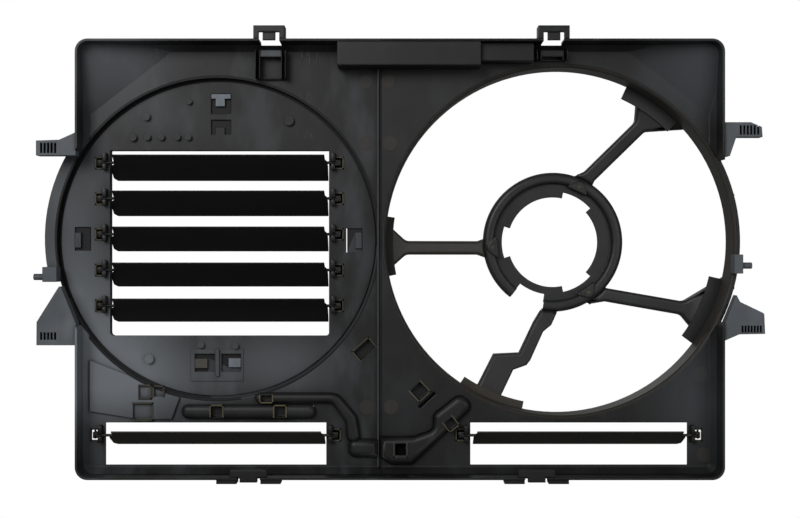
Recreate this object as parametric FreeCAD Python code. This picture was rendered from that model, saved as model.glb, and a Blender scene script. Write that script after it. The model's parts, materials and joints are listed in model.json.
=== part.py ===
import FreeCAD, Part
import math
import os

# Radiator fan carrier: a moulded tray with a fan ring on the right, and on the
# left a ring closed by a snap-in cover with free-hanging air flaps.
# X runs to the right and Z up, seen from the radiator side. Y runs from the
# radiator side to the engine side. The origin is on the fan axis, in the plane
# that the motor is screwed to. A depth is measured from the radiator-side rim.

V = FreeCAD.Vector

# Overall tray
MOTOR_DEPTH = 100.0        # rim plane to motor mounting plane
TRAY_WIDTH = 670.0
TRAY_HEIGHT = 455.0
TRAY_LEFT = -503.5         # left outer face, from the fan axis
TRAY_BOTTOM = -246.3       # lower outer face, from the fan axis
TRAY_CORNER_R = 13.0
PANEL_DEPTH = 30.0
WALL = 2.4
TRAY_BEVEL = 6.5           # slope between wall and panel
RAMP_WIDTH = 106.0         # raised upper corners, along the top wall
RAMP_DROP = 82.0           # and down the side wall
RAMP_DEPTH = 13.0          # depth of the ramp at the very corner
DIVIDER_X = -191.5
DIVIDER_HEIGHT = 5.0
DIVIDER_THICK = 2.0
TRAY_SPLIT = -188.0        # the two halves of the tray meet between the rings
POCKET_DEPTH = 8.0         # blind pockets behind the panel
POCKET_WALL = 1.6

# Fan ring and its air path
FAN_RING_R = 183.5
FAN_RING_END = 65.0
FAN_WALL = 3.0
FAN_FLANGE_R = 190.0
FAN_LIP = 7.9              # outward lip at the engine side, from the ring's inside
GUSSET_COUNT = 12          # ribs between the panel and the lip
GUSSET_THICK = 2.0

# Left ring, which the cover closes
COVER_X = -360.7
COVER_Z = 3.0
COVER_R = 166.5
COVER_DEPTH = 38.0
COVER_THICK = 2.5
COVER_GAP = 2.5
LEFT_FLANGE_R = 182.0
FLANGE_GAP = (-62.0, -38.5)  # the flange is open between the pin block and the guide
LEDGE_WIDTH = 8.0          # shelf inside the ring, which carries the cover
LEDGE_THICK = 2.4
WINDOW_MARGIN = 50.45      # cover edge to the air window, at its middle
WINDOW_SHIFT = 0.95        # window centre to the right of the cover's
WINDOW_TOP = 96.5
WINDOW_FRAME = 9.0         # depth of the collar behind the window
FRAME_WALL = 1.0

# Air flaps
FLAP_THICK = 1.8
FLAP_LEFT_GAP = 3.5
FLAP_RIGHT_GAP = 1.6
FLAP_SIDE_STEP = 2.6       # the flap's ear beside the pivot
FLAP_ABOVE = 12.0          # pivot to upper edge
FLAP_BELOW = 28.4          # pivot to lower edge
FLAP_COUNT = 5
FLAP_PITCH = 37.8
FLAP_TOP_GAP = 1.2
FLAP_OPEN = 52.0           # degrees from hanging straight down
PIVOT_R = 1.5
PIVOT_CLEARANCE = 0.1
PIVOT_RISE = 4.0           # pivot axis in front of the face that carries it
SLOT_ABOVE = 11.0
SLOT_BELOW = 29.5
SLOT_OPEN = 65.0
SLOT_TOP_GAP = 1.8
SLOT_RISE = 55.5           # tray's lower edge to the top of the lower air slots
SLOT_HEIGHT = 44.5
LEFT_SLOT_OUTER = 25.0     # tray's side to the left slot
LEFT_SLOT_INNER = 54.6     # left slot to the divider
RIGHT_SLOT_INNER = 97.2    # divider to the right slot
RIGHT_SLOT_OUTER = 32.2    # right slot to the tray's side

# Pivot bearings
BEARING_SETBACK = 2.7      # window edge to bearing
BEARING_WIDTH = 4.0
BEARING_UP = 10.4
BEARING_DOWN = 7.6
BEARING_RISE = 8.0
HOOK_REACH = 9.0           # snap window beside the bearing
HOOK_HALF = 3.2
HOOK_SLIT = 3.0            # air round the hook on three sides

# Motor ring
SCREW_PCD = 134.0
SCREW_COUNT = 3
SCREW_FIRST = 65.0         # degrees from +X
SCREW_HOLE_R = 2.7
RING_OUTER_R = 75.8
RING_STEP_R = 64.5
RING_INNER_R = 49.4
RING_NOTCH_R = 56.0
RING_NOTCH_HALF = 18.0
RING_NOTCH_SHIFT = -5.0
RING_FRONT = 86.0
RING_WALL = 2.5
RING_SEAT = 93.0           # depth of the inner flange
BOWL_GAP = (232.0, 261.0)  # the bowl is open between these angles
BRIDGE_R = 58.0
BOSS_HALF = 13.3
BOSS_TIP_R = 6.0
BOSS_RISE = 1.5            # over the motor ring's front
BOSS_INNER = 61.5
BOSS_OUTER = 76.0

# Spokes
SPOKE_WIDTH = 15.0
SPOKE_TALL = 13.0
SPOKE_WALL = 2.4
SPOKE_START = 86.0         # depth of the spoke's front at the motor ring
SPOKE_END = 66.0           # and at the fan ring
SPOKE_FLARE = 14.0         # widening where the spoke runs into its pad
SPOKE_FLARE_R = 9.0
HUB_FLARE = 5.0            # and into the motor ring
HUB_FLARE_REACH = 8.0      # how far out from the motor ring it ends
SPOKE_SETBACK = 2.0        # spokes end in front of the motor's plane
PAD_THICK = 3.0
PAD_INNER_R = 170.3
PAD_INNER_FLAT_R = 176.0   # pads of the left spoke and the cable arm
ARM_WALL = 2.2

# Small clearances
SEAM = 0.1                 # between curved faces of neighbouring mouldings


def at(depth):
    return depth - MOTOR_DEPTH


def box(x0, x1, d0, d1, z0, z1):
    return Part.makeBox(x1 - x0, d1 - d0, z1 - z0, V(x0, at(d0), z0))


def disc(x, z, radius, d0, d1):
    return Part.makeCylinder(radius, d1 - d0, V(x, at(d0), z), V(0, 1, 0))


def tube(x, z, inner, outer, d0, d1):
    return disc(x, z, outer, d0, d1).cut(disc(x, z, inner, d0 - 1, d1 + 1))


def outline(corners, radius=0.0):
    """Face in the XZ plane; a corner is (x, z) or (x, z, its own radius)."""
    points = [V(c[0], 0, c[1]) for c in corners]
    radii = [c[2] if len(c) > 2 else radius for c in corners]
    starts, middles, ends = [], [], []
    for i, p in enumerate(points):
        if radii[i] <= 0:
            starts.append(p)
            middles.append(None)
            ends.append(p)
            continue
        a = (points[i - 1] - p).normalize()
        b = (points[(i + 1) % len(points)] - p).normalize()
        half = a.getAngle(b) / 2
        inward = (a + b).normalize()
        starts.append(p + a * (radii[i] / math.tan(half)))
        ends.append(p + b * (radii[i] / math.tan(half)))
        middles.append(p + inward * (radii[i] / math.sin(half) - radii[i]))
    edges = []
    for i in range(len(points)):
        if middles[i] is not None:
            edges.append(Part.Arc(starts[i], middles[i], ends[i]).toShape())
        follow = starts[(i + 1) % len(points)]
        if (follow - ends[i]).Length > 1e-6:
            edges.append(Part.LineSegment(ends[i], follow).toShape())
    return Part.Face(Part.Wire(edges))


def prism(face, d0, d1):
    lifted = face.translated(V(0, at(d0), 0))
    return lifted.extrude(V(0, d1 - d0, 0))


def plate(corners, d0, d1, radius=0.0):
    return prism(outline(corners, radius), d0, d1)


def turned(profile, x, z):
    """Revolve a closed (radius, depth) profile about the Y axis through x, z."""
    points = [V(x + r, at(d), z) for r, d in profile]
    face = Part.Face(Part.makePolygon(points + points[:1]))
    return face.revolve(V(x, 0, z), V(0, 1, 0), 360)


def rod(radius, sides, x0, x1, depth, z):
    """Bar along X with a regular section."""
    angles = [math.pi / sides * (2 * i + 1) for i in range(sides)]
    points = [V(x0, at(depth) + radius * math.cos(a), z + radius * math.sin(a)) for a in angles]
    return Part.Face(Part.makePolygon(points + points[:1])).extrude(V(x1 - x0, 0, 0))


def fuse(shapes):
    return shapes[0].multiFuse(shapes[1:]).removeSplitter()


def rounded_rect(x0, x1, z0, z1, radius):
    return outline([(x0, z0), (x1, z0), (x1, z1), (x0, z1)], radius)


def turned_box(place, half, angle, d0, d1):
    """Box round the place (x, z), turned by an angle in the XZ plane."""
    x, z = place
    block = box(-half[0], half[0], d0, d1, -half[1], half[1])
    block.rotate(V(0, 0, 0), V(0, 1, 0), -angle)
    block.translate(V(x, 0, z))
    return block


def wedge(first, last, reach, d0, d1):
    """Triangle from the fan axis between two angles from +X."""
    a0, a1 = math.radians(first), math.radians(last)
    return plate([(0, 0), (reach * math.cos(a0), reach * math.sin(a0)),
                  (reach * math.cos(a1), reach * math.sin(a1))], d0, d1)


def sector(inner, outer, first, last, d0, d1):
    """Part of a tube about the fan axis, between two angles from +X."""
    return wedge(first, last, outer * 1.3, d0, d1).common(tube(0, 0, inner, outer, d0 - 1, d1 + 1))


def inset(face, wall, sharp=False):
    """Face shrunk by a wall's thickness, its hollow corners rounded or sharp."""
    return Part.Face(Part.Wire(face.OuterWire.makeOffset2D(-wall, 2 if sharp else 0).Edges))


# Tray
TRAY_RIGHT = TRAY_LEFT + TRAY_WIDTH
TRAY_TOP = TRAY_BOTTOM + TRAY_HEIGHT
PANEL_BACK = PANEL_DEPTH + WALL
LEFT_RING_R = COVER_R + COVER_GAP
RAMP_SIDES = ((TRAY_LEFT, 1), (TRAY_RIGHT, -1))


def tray_block(wall, d0, d1, bevel):
    face = rounded_rect(TRAY_LEFT + wall, TRAY_RIGHT - wall, TRAY_BOTTOM + wall, TRAY_TOP - wall,
                        TRAY_CORNER_R - wall)
    block = prism(face, d0, d1)
    back = [e for e in block.Edges if abs(e.BoundBox.YMin - at(d1)) < 1e-6]
    return block.makeChamfer(bevel, back)


def ramp_space(side_x, inward, shift):
    """Everything behind the sloping plane of a raised upper corner."""
    corner = V(side_x, at(RAMP_DEPTH + shift), TRAY_TOP)
    along = V(inward * RAMP_WIDTH, PANEL_DEPTH - RAMP_DEPTH, 0)
    down = V(0, PANEL_DEPTH - RAMP_DEPTH, -RAMP_DROP)
    start = corner - along * 0.5 - down * 0.5
    points = [start, start + along * 2.5, start + along * 2.5 + down * 2.5, start + down * 2.5]
    face = Part.Face(Part.makePolygon(points + points[:1]))
    return face.extrude(V(0, PANEL_BACK + FAN_RING_END, 0))


def tray():
    outer = tray_block(0, 0, PANEL_BACK, TRAY_BEVEL + WALL * (2 - math.sqrt(2)))
    cavity = tray_block(WALL, -TRAY_CORNER_R, PANEL_DEPTH, TRAY_BEVEL)
    for side_x, inward in RAMP_SIDES:
        outer = outer.cut(ramp_space(side_x, inward, WALL))
        cavity = cavity.cut(ramp_space(side_x, inward, 0))
    shell = outer.cut(cavity)
    # the rings bulge out past the side walls, which stop short of them
    shell = shell.cut(disc(COVER_X, COVER_Z, LEFT_RING_R, -1, PANEL_DEPTH))
    shell = shell.cut(disc(0, 0, FAN_RING_R + FAN_WALL, -1, PANEL_DEPTH))
    bulge = disc(COVER_X, COVER_Z, LEFT_FLANGE_R, PANEL_DEPTH, PANEL_BACK)
    bulge = bulge.cut(box(COVER_X - LEFT_FLANGE_R - 1, TRAY_LEFT, PANEL_DEPTH - 1, PANEL_BACK + 1, *FLANGE_GAP))
    floor = PANEL_DEPTH + POCKET_DEPTH
    cups = [cup(spec, POCKET_WALL, PANEL_BACK - 0.5, floor + POCKET_WALL) for spec in PANEL_POCKETS]
    cups += [hook_window(slot, slot["blind"], 0, POCKET_WALL, PANEL_BACK - 0.5, floor + POCKET_WALL)
             for slot in SLOTS]
    shell = fuse([shell, bulge, disc(0, 0, FAN_FLANGE_R, PANEL_DEPTH, PANEL_BACK)] + cups)
    shell = shell.cut(disc(COVER_X, COVER_Z, LEFT_RING_R + WALL + SEAM, PANEL_DEPTH - 1, PANEL_BACK + 1))
    shell = shell.cut(disc(0, 0, FAN_RING_R + FAN_WALL + SEAM, PANEL_DEPTH - 1, PANEL_BACK + 1))
    for spec in PANEL_POCKETS:
        shell = shell.cut(cup(spec, 0.0, PANEL_DEPTH - 1, floor))
    for slot in SLOTS:
        shell = shell.cut(slot_cut(slot, PANEL_DEPTH - 1, PANEL_BACK + 1))
        shell = shell.cut(hook_window(slot, slot["blind"], 0, 0.0, PANEL_DEPTH - 1, floor))
    for spec in DUCTS:
        shell = shell.cut(panel_channel(spec))
    for x0 in LATCHES.values():
        shell = shell.cut(latch_notch(x0))
    for centre in FEET.values():
        shell = shell.cut(foot_slits(centre))
    return shell


def cup(spec, wall, d0, d1):
    """A panel pocket's room, or with a wall its outer shape."""
    x, z, half_x, half_z, angle = spec
    return turned_box((x, z), (half_x + wall, half_z + wall), angle, d0, d1)


# Blind pockets for cable clips: x, z, half length, half width and angle
PANEL_POCKETS = [
    (-205.8, -113.9, 10.5, 6.5, 41.0),
    (-147.5, -157.9, 7.0, 7.0, 43.0),
    (-140.0, -167.0, 11.5, 1.6, 43.0),
]


def slot_cut(slot, d0, d1):
    x0, x1 = slot["left"], slot["right"]
    cut = box(x0, x1, d0, d1, slot["top"] - slot["height"], slot["top"])
    return fuse([cut] + [hook_window(slot, side, 0, 0.0, d0, d1) for side in (-1, 1)])


# Windows with their flaps: the cover's window and the two lower slots
LOWER = {"top": TRAY_BOTTOM + SLOT_RISE, "height": SLOT_HEIGHT, "face": PANEL_DEPTH, "above": SLOT_ABOVE,
         "below": SLOT_BELOW, "gap": SLOT_TOP_GAP, "open": SLOT_OPEN, "rows": 1, "pitch": 0.0}
SLOTS = [
    {"name": "lower_left", "left": TRAY_LEFT + LEFT_SLOT_OUTER, "right": DIVIDER_X - LEFT_SLOT_INNER,
     "blind": 1, **LOWER},
    {"name": "lower_right", "left": DIVIDER_X + RIGHT_SLOT_INNER, "right": TRAY_RIGHT - RIGHT_SLOT_OUTER,
     "blind": -1, **LOWER},
]
WINDOW_X = COVER_X + WINDOW_SHIFT
WINDOW_HALF = COVER_R - WINDOW_MARGIN
WINDOW_FOOT = 3.8          # last flap to the window's lower edge
WINDOW_HEIGHT = FLAP_TOP_GAP + FLAP_ABOVE + (FLAP_COUNT - 1) * FLAP_PITCH + FLAP_BELOW + WINDOW_FOOT
MAIN = {"name": "louvre", "left": WINDOW_X - WINDOW_HALF, "right": WINDOW_X + WINDOW_HALF, "top": WINDOW_TOP,
        "height": WINDOW_HEIGHT, "face": COVER_DEPTH, "above": FLAP_ABOVE, "below": FLAP_BELOW,
        "gap": FLAP_TOP_GAP, "open": FLAP_OPEN, "rows": FLAP_COUNT, "pitch": FLAP_PITCH}


def pivot(slot, row):
    """Depth and height of a flap's pivot axis."""
    return slot["face"] - PIVOT_RISE, slot["top"] - slot["gap"] - slot["above"] - row * slot["pitch"]


def window_edge(slot, side):
    return slot["left"] if side < 0 else slot["right"]


def span(a, b):
    return min(a, b), max(a, b)


def hook_window(slot, side, row, wall, d0, d1):
    """Window beside the bearing for its hook, or with a wall the cup round it."""
    z = pivot(slot, row)[1]
    near = window_edge(slot, side) + side * (BEARING_SETBACK + BEARING_WIDTH - wall)
    x0, x1 = span(near, near + side * (HOOK_REACH + 2 * wall))
    half = HOOK_HALF + HOOK_SLIT + wall
    return box(x0, x1, d0, d1, z - half, z + half)


def bearing(slot, side, row):
    """Snap-in bearing: an upright with the pivot bore, and the hook that holds it."""
    depth, z = pivot(slot, row)
    face = slot["face"]
    inner = window_edge(slot, side) + side * BEARING_SETBACK
    outer = inner + side * BEARING_WIDTH
    x0, x1 = span(inner, outer)
    upright = box(x0, x1, face - BEARING_RISE, face, z - BEARING_DOWN, z + BEARING_UP)
    tip = outer + side * (HOOK_REACH - HOOK_SLIT)
    h0, h1 = span(outer, tip)
    hook = box(h0, h1, face - BEARING_RISE / 2, face + COVER_THICK + 2, z - HOOK_HALF, z + HOOK_HALF)
    barb_x0, barb_x1 = span(tip - side * 2.0, tip)
    barb = box(barb_x0, barb_x1, face + COVER_THICK + SEAM, face + COVER_THICK + 2,
               z - HOOK_HALF - 1.5, z + HOOK_HALF + 1.5)
    whole = fuse([upright, hook, barb])
    seat = (PIVOT_R + PIVOT_CLEARANCE) / math.cos(math.pi / 8)
    bore = rod(seat, 8, x0 - 1, x1 + 1, depth, z)
    mouth = box(x0 - 1, x1 + 1, face - BEARING_RISE - 1, depth, z - PIVOT_R * 0.8, z + PIVOT_R * 0.8)
    stop_x0, stop_x1 = span(outer, outer + side * (HOOK_REACH - HOOK_SLIT))
    stop = box(stop_x0, stop_x1, face - BEARING_RISE / 2, face, z - HOOK_HALF, z + HOOK_HALF)
    return fuse([whole.cut(bore).cut(mouth), stop])


def flap(slot, row):
    """Flap modelled hanging down, then swung open about its pivot axis."""
    depth, z = pivot(slot, row)
    left = slot["left"] + FLAP_LEFT_GAP
    right = slot["right"] - FLAP_RIGHT_GAP
    up, down, ear = slot["above"], slot["below"], FLAP_SIDE_STEP
    corners = [(left, z + up), (left, z + 3.5), (left - ear, z + 0.5), (left - ear, z - 8.0),
               (left + 0.3, z - down + 4.0), (left + 4.3, z - down), (right - 1.0, z - down), (right, z - 8.0),
               (right, z + 0.5), (right - 2.5, z + 3.5), (right - 2.5, z + up)]
    body = plate(corners, depth - FLAP_THICK / 2, depth + FLAP_THICK / 2)
    pins = []
    for side, end in ((-1, left - ear), (1, right)):
        tip = window_edge(slot, side) + side * (BEARING_SETBACK + BEARING_WIDTH - 0.4)
        pins.append(rod(PIVOT_R, 12, *span(end, tip), depth, z))
    whole = fuse([body] + pins)
    whole.rotate(V(0, at(depth), z), V(1, 0, 0), slot["open"])
    return whole


# Cable ducts, rounded ridges on the radiator side that are open to the engine
DUCT_RISE = 9.0
DUCT_WALL = 2.0
DUCTS = [
    {"name": "lower_cable_duct", "corners": [
        (-398.3, -170.4, 6.0), (-256.5, -170.4, 6.0), (-256.5, -186.8, 6.0), (-398.3, -186.8, 6.0)],
     "hooks": [(-360.4, -178.6), (-294.1, -178.6)]},
    {"name": "upper_cable_duct", "corners": [
        (-321.0, -169.8), (-321.0, -164.5), (-298.0, -159.0), (-234.0, -159.0, 10.0),
        (-213.6, -183.0, 6.0), (-209.0, -211.0, 4.0), (-224.4, -211.0, 4.0), (-226.0, -190.0),
        (-240.0, -169.8, 6.0)],
     "hooks": [(-304.0, -165.4)]},
    {"name": "right_cable_duct", "corners": [
        (-189.8, -204.6), (-154.0, -204.6, 9.0), (-133.8, -197.4, 5.0), (-133.8, -181.5, 5.0),
        (-106.0, -159.5, 7.0), (-88.5, -171.8, 7.0), (-106.5, -188.6), (-155.5, -235.0, 6.0),
        (-178.6, -235.0, 6.0), (-189.8, -226.5)],
     "hooks": [(-167.9, -217.8), (-115.1, -191.9)]},
]
HOOK_WINDOW = 6.6          # half of a hook window in a duct's crown
HOOK_BRIDGE = 2.5          # the panel stays whole this far round it


def duct_channel(duct, d0, d1):
    return prism(inset(outline(duct["corners"]), DUCT_WALL), d0, d1)


def panel_channel(duct):
    """The duct's room where it passes the panel, bridged behind its hook windows."""
    room = duct_channel(duct, PANEL_DEPTH - 1, PANEL_BACK + 1)
    half = HOOK_WINDOW + HOOK_BRIDGE
    for x, z in duct["hooks"]:
        room = room.cut(box(x - half, x + half, PANEL_DEPTH - 2, PANEL_BACK + 2, z - 3 * half, z + 3 * half))
    return room


def duct(spec):
    face = outline(spec["corners"])
    ridge = prism(face, PANEL_DEPTH - DUCT_RISE, PANEL_DEPTH)
    ridge = ridge.cut(duct_channel(spec, PANEL_DEPTH - DUCT_RISE + DUCT_WALL, PANEL_DEPTH + 1))
    for x, z in spec["hooks"]:
        window = box(x - HOOK_WINDOW, x + HOOK_WINDOW, PANEL_DEPTH - DUCT_RISE - 1,
                     PANEL_DEPTH - DUCT_RISE + DUCT_WALL + 1, z - HOOK_WINDOW, z + HOOK_WINDOW)
        ridge = ridge.cut(window)
    return ridge


# Rings
def fan_ring():
    r, lip = FAN_RING_R, FAN_RING_R + FAN_LIP
    back = FAN_RING_R + FAN_WALL
    end = FAN_RING_END
    half = GUSSET_THICK / 2
    profile = [(back, PANEL_DEPTH), (r, PANEL_DEPTH + FAN_WALL), (r, end), (lip, end), (lip, end - WALL),
               (back, end - WALL)]
    gussets = []
    for i in range(GUSSET_COUNT):
        rib = box(back - 0.5, lip - 0.5, PANEL_BACK + SEAM, end - WALL + 0.5, -half, half)
        rib.rotate(V(0, 0, 0), V(0, 1, 0), 360.0 / GUSSET_COUNT * (i + 0.5))
        gussets.append(rib)
    return fuse([turned(profile, 0, 0)] + gussets)


LEDGE_DEPTH = COVER_DEPTH + COVER_THICK
LEDGE_R = LEFT_RING_R - LEDGE_WIDTH
# Tabs of the ledge behind the cover's snap windows: low and high x, then low and high z
SNAP_TABS = [
    (COVER_X - 15.0, COVER_X + 15.0, 100.0, 166.0),
    (COVER_X - 27.0, COVER_X + 27.0, -160.0, -112.0),
    (COVER_X - 163.0, COVER_X - 136.0, -12.0, 18.0),
    (COVER_X + 136.0, COVER_X + 163.0, -12.0, 18.0),
]
# Snap hooks that rise from the tabs through the windows
SNAP_HOOKS = [
    (-363.7, -353.9, 143.0, 156.0),
    (-368.2, -347.8, 151.0, 156.0),
    (-512.6, -506.0, -6.5, 9.4),
    (-215.8, -209.0, -7.5, 9.7),
    (-385.3, -372.3, -134.0, -123.9),
    (-350.0, -337.1, -133.0, -123.4),
]
SNAP_RISE = 1.5            # hooks stand in front of the cover's face


def left_ring():
    seat, shelf = LEFT_RING_R, LEDGE_DEPTH
    under = shelf + LEDGE_THICK
    profile = [(seat, PANEL_DEPTH), (seat, shelf), (LEDGE_R, shelf), (LEDGE_R, under), (seat + WALL, under),
               (seat + WALL, PANEL_DEPTH)]
    tabs = [box(x0, x1, shelf, under, z0, z1) for x0, x1, z0, z1 in SNAP_TABS]
    hooks = [box(x0, x1, COVER_DEPTH - SNAP_RISE, shelf + 0.5, z0, z1) for x0, x1, z0, z1 in SNAP_HOOKS]
    return fuse([turned(profile, COVER_X, COVER_Z)] + tabs + hooks)


def cover():
    d0, d1 = COVER_DEPTH, COVER_DEPTH + COVER_THICK
    whole = disc(COVER_X, COVER_Z, COVER_R, d0, d1)
    low, high = COVER_FRAME
    frame = box(low[0], high[0], d0 - COVER_FRAME_RISE, d0 + 0.5, low[1], high[1])
    rib = box(*COVER_RIB)
    whole = fuse([whole, frame, rib]).cut(window_space(0.0, d0 - 2, d1 + 1))
    for side in (-1, 1):
        for row in range(MAIN["rows"]):
            whole = whole.cut(hook_window(MAIN, side, row, 0.0, d0 - 1, d1 + 1))
    for x0, x1, z0, z1 in COVER_POCKETS:
        whole = whole.cut(box(x0, x1, d0 - 2, d1 + 1, z0, z1))
    return whole


def window_space(grow, d0, d1):
    """The cover's air window, or with a growth the space round it."""
    z1, z0 = MAIN["top"] + grow, MAIN["top"] - MAIN["height"] - grow
    x0, x1 = MAIN["left"] - grow, MAIN["right"] + grow
    return plate([(x0, z0, 4), (x1, z0, 4), (x1, z1), (x0, z1)], d0, d1)


def window_frame():
    """Collar behind the air window, with a closed channel behind the bearings' hooks on each side."""
    d0, d1 = LEDGE_DEPTH, LEDGE_DEPTH + WINDOW_FRAME
    frame = window_space(WALL, d0, d1)
    rooms = []
    for side in (-1, 1):
        high = hook_window(MAIN, side, 0, 0.0, d0, d1).BoundBox
        low = hook_window(MAIN, side, MAIN["rows"] - 1, 0.0, d0, d1).BoundBox
        w = FRAME_WALL
        x0, x1 = span(window_edge(MAIN, side), low.XMin - w if side < 0 else low.XMax + w)
        frame = frame.fuse(box(x0, x1, d0, d1, low.ZMin - w, high.ZMax + w))
        rooms.append(box(low.XMin, low.XMax, d0 - 1, d1 - w, low.ZMin, high.ZMax))
    return frame.removeSplitter().cut(fuse(rooms)).cut(window_space(0.0, d0 - 1, d1 + 1))


COVER_FRAME = ((-390.0, -147.9), (-334.3, -113.9))
COVER_FRAME_RISE = 1.0
COVER_RIB = (-363.2, -359.6, COVER_DEPTH - 4.0, COVER_DEPTH + 0.5, -142.6, -113.6)
# Snap windows in the cover, low and high x, then low and high z
COVER_POCKETS = [
    (-368.6, -347.4, 135.3, 156.6),
    (-368.6, -363.9, 113.5, 128.9),
    (-363.9, -354.1, 121.0, 128.9),
    (-354.1, -347.4, 113.5, 128.9),
    (-513.0, -496.0, -9.7, 15.4),
    (-225.4, -208.5, -11.5, 13.9),
    (-385.7, -364.5, -137.9, -118.9),
    (-357.6, -336.7, -137.9, -118.9),
]


# Motor ring with its three screw bosses
def motor_ring():
    w = RING_WALL
    ro, rs, ri = RING_OUTER_R, RING_STEP_R, RING_INNER_R
    top, seat = RING_FRONT, RING_SEAT
    profile = [(ro, MOTOR_DEPTH), (ro, top), (rs, top), (rs, seat), (ri, seat), (ri, seat + w),
               (rs + w, seat + w), (rs + w, top + w), (ro - w, top + w), (ro - w, MOTOR_DEPTH)]
    ring = turned(profile, 0, 0)
    gap = wedge(*BOWL_GAP, ro * 1.3, top - 2, MOTOR_DEPTH + 1)
    ring = ring.cut(gap.cut(disc(0, 0, BRIDGE_R, top - 3, MOTOR_DEPTH + 2)))
    for angle in screw_angles():
        ring = ring.cut(notch(angle + RING_NOTCH_SHIFT))
    return fuse([ring] + [boss(a) for a in screw_angles()]).cut(screw_holes())


def screw_angles():
    return [SCREW_FIRST + 360.0 / SCREW_COUNT * i for i in range(SCREW_COUNT)]


def notch(angle):
    half = RING_NOTCH_HALF
    space = wedge(angle - half, angle + half, RING_NOTCH_R * 1.5, RING_SEAT - 1, MOTOR_DEPTH + 1)
    return space.common(disc(0, 0, RING_NOTCH_R, RING_SEAT - 2, MOTOR_DEPTH + 2))


def boss(angle):
    """Triangular dome over a screw, which stands down to the motor's plane."""
    corners = [(BOSS_INNER, -BOSS_HALF), (BOSS_OUTER, 0.0, BOSS_TIP_R), (BOSS_INNER, BOSS_HALF)]
    block = plate(corners, RING_FRONT - BOSS_RISE, MOTOR_DEPTH)
    block.rotate(V(0, 0, 0), V(0, 1, 0), -angle)
    return block


def screw_holes():
    holes = []
    for angle in screw_angles():
        a = math.radians(angle)
        r = SCREW_PCD / 2
        holes.append(disc(r * math.cos(a), r * math.sin(a), SCREW_HOLE_R, RING_FRONT - 3, MOTOR_DEPTH + 1))
    return fuse(holes)


# Spokes, with the pads that they land on behind the fan ring's lip.
# A spoke is given by its direction and by how far its line passes from the axis.
RING_BACK_R = FAN_RING_R + FAN_LIP - 0.5
SPOKES = [
    {"name": "spoke_upper_right", "angle": 45.0, "offset": 22.9, "pad": (44.6, 65.4, PAD_INNER_R)},
    {"name": "spoke_left", "angle": 180.0, "offset": 6.3, "pad": (171.4, 191.6, PAD_INNER_FLAT_R)},
    {"name": "spoke_lower_right", "angle": -9.9, "offset": -47.1, "pad": (-36.6, -12.6, PAD_INNER_R)},
]


def spoke_face(length, start, wall):
    """Plan of a spoke along +X, flared at both ends, or with a wall its inside."""
    h = SPOKE_WIDTH / 2 - wall
    far = length + 30
    hub, pad = start + HUB_FLARE_REACH + wall, length - SPOKE_FLARE + wall / 2
    half = [(0, HUB_FLARE + h), (start - 6, HUB_FLARE + h), (hub, h), (pad, h, SPOKE_FLARE_R),
            (far, h + (far - pad) * 0.9)]
    lower = [(u, -v, *radius) for u, v, *radius in half]
    return outline(lower + half[::-1])


def sloped_slab(drop, tall):
    """Space between two planes that fall from the motor ring to the fan ring, along +X."""
    start, end = RING_OUTER_R, FAN_RING_R
    slope = (SPOKE_END - SPOKE_START) / (end - start)
    low, high = -20.0, end + 60.0
    points = [V(u, at(SPOKE_START + slope * (u - start) + drop + extra), -100)
              for u, extra in ((low, 0), (high, 0), (high, tall), (low, tall))]
    return Part.Face(Part.makePolygon(points + points[:1])).extrude(V(0, 0, 200))


def spoke(spec):
    """Channel moulding, open towards the engine, with the pad at its end."""
    offset = spec["offset"]
    start = math.sqrt(RING_OUTER_R ** 2 - offset ** 2)
    length = math.sqrt(spec["pad"][2] ** 2 - offset ** 2)
    body = prism(spoke_face(length, start, 0.0), SPOKE_END - 30, MOTOR_DEPTH + 10)
    body = body.common(sloped_slab(0.0, SPOKE_TALL))
    inside = prism(spoke_face(length, start, SPOKE_WALL), SPOKE_END - 30, MOTOR_DEPTH + 10)
    body = body.cut(inside.common(sloped_slab(SPOKE_WALL, SPOKE_TALL)))
    body.translate(V(0, 0, offset))
    body.rotate(V(0, 0, 0), V(0, 1, 0), -spec["angle"])
    body = body.common(tube(0, 0, RING_OUTER_R + SEAM, RING_BACK_R, FAN_RING_END, MOTOR_DEPTH - SPOKE_SETBACK))
    first, last, inner = spec["pad"]
    return fuse([body, sector(inner, RING_BACK_R, first, last, FAN_RING_END, FAN_RING_END + PAD_THICK)])


# Cable arm, the zigzag channel from the motor ring to the fan ring
ARM_OUTLINE = [
    (7.0, -66.0), (3.8, -77.8), (-2.4, -90.9), (-11.4, -98.1), (-26.2, -129.2), (-30.4, -134.3),
    (-44.9, -139.4), (-58.2, -166.1), (-64.0, -178.0), (-92.0, -166.0), (-82.9, -154.4), (-66.1, -122.4),
    (-38.1, -121.1), (-21.5, -87.6), (-12.5, -73.4), (-12.5, -66.0)]
ARM_PAD = (236.0, 258.6)
ARM_FALL = SPOKE_START - SPOKE_END


def arm_slab(drop, tall):
    """Sloping slab that gives the arm its front face."""
    z0, z1 = -RING_STEP_R, -FAN_RING_R
    points = [V(-FAN_RING_R, at(SPOKE_START - fall + drop + extra), z)
              for z, fall, extra in ((z0, 0, 0), (z1, ARM_FALL, 0), (z1, ARM_FALL, tall), (z0, 0, tall))]
    return Part.Face(Part.makePolygon(points + points[:1])).extrude(V(2 * FAN_RING_R, 0, 0))


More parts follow.
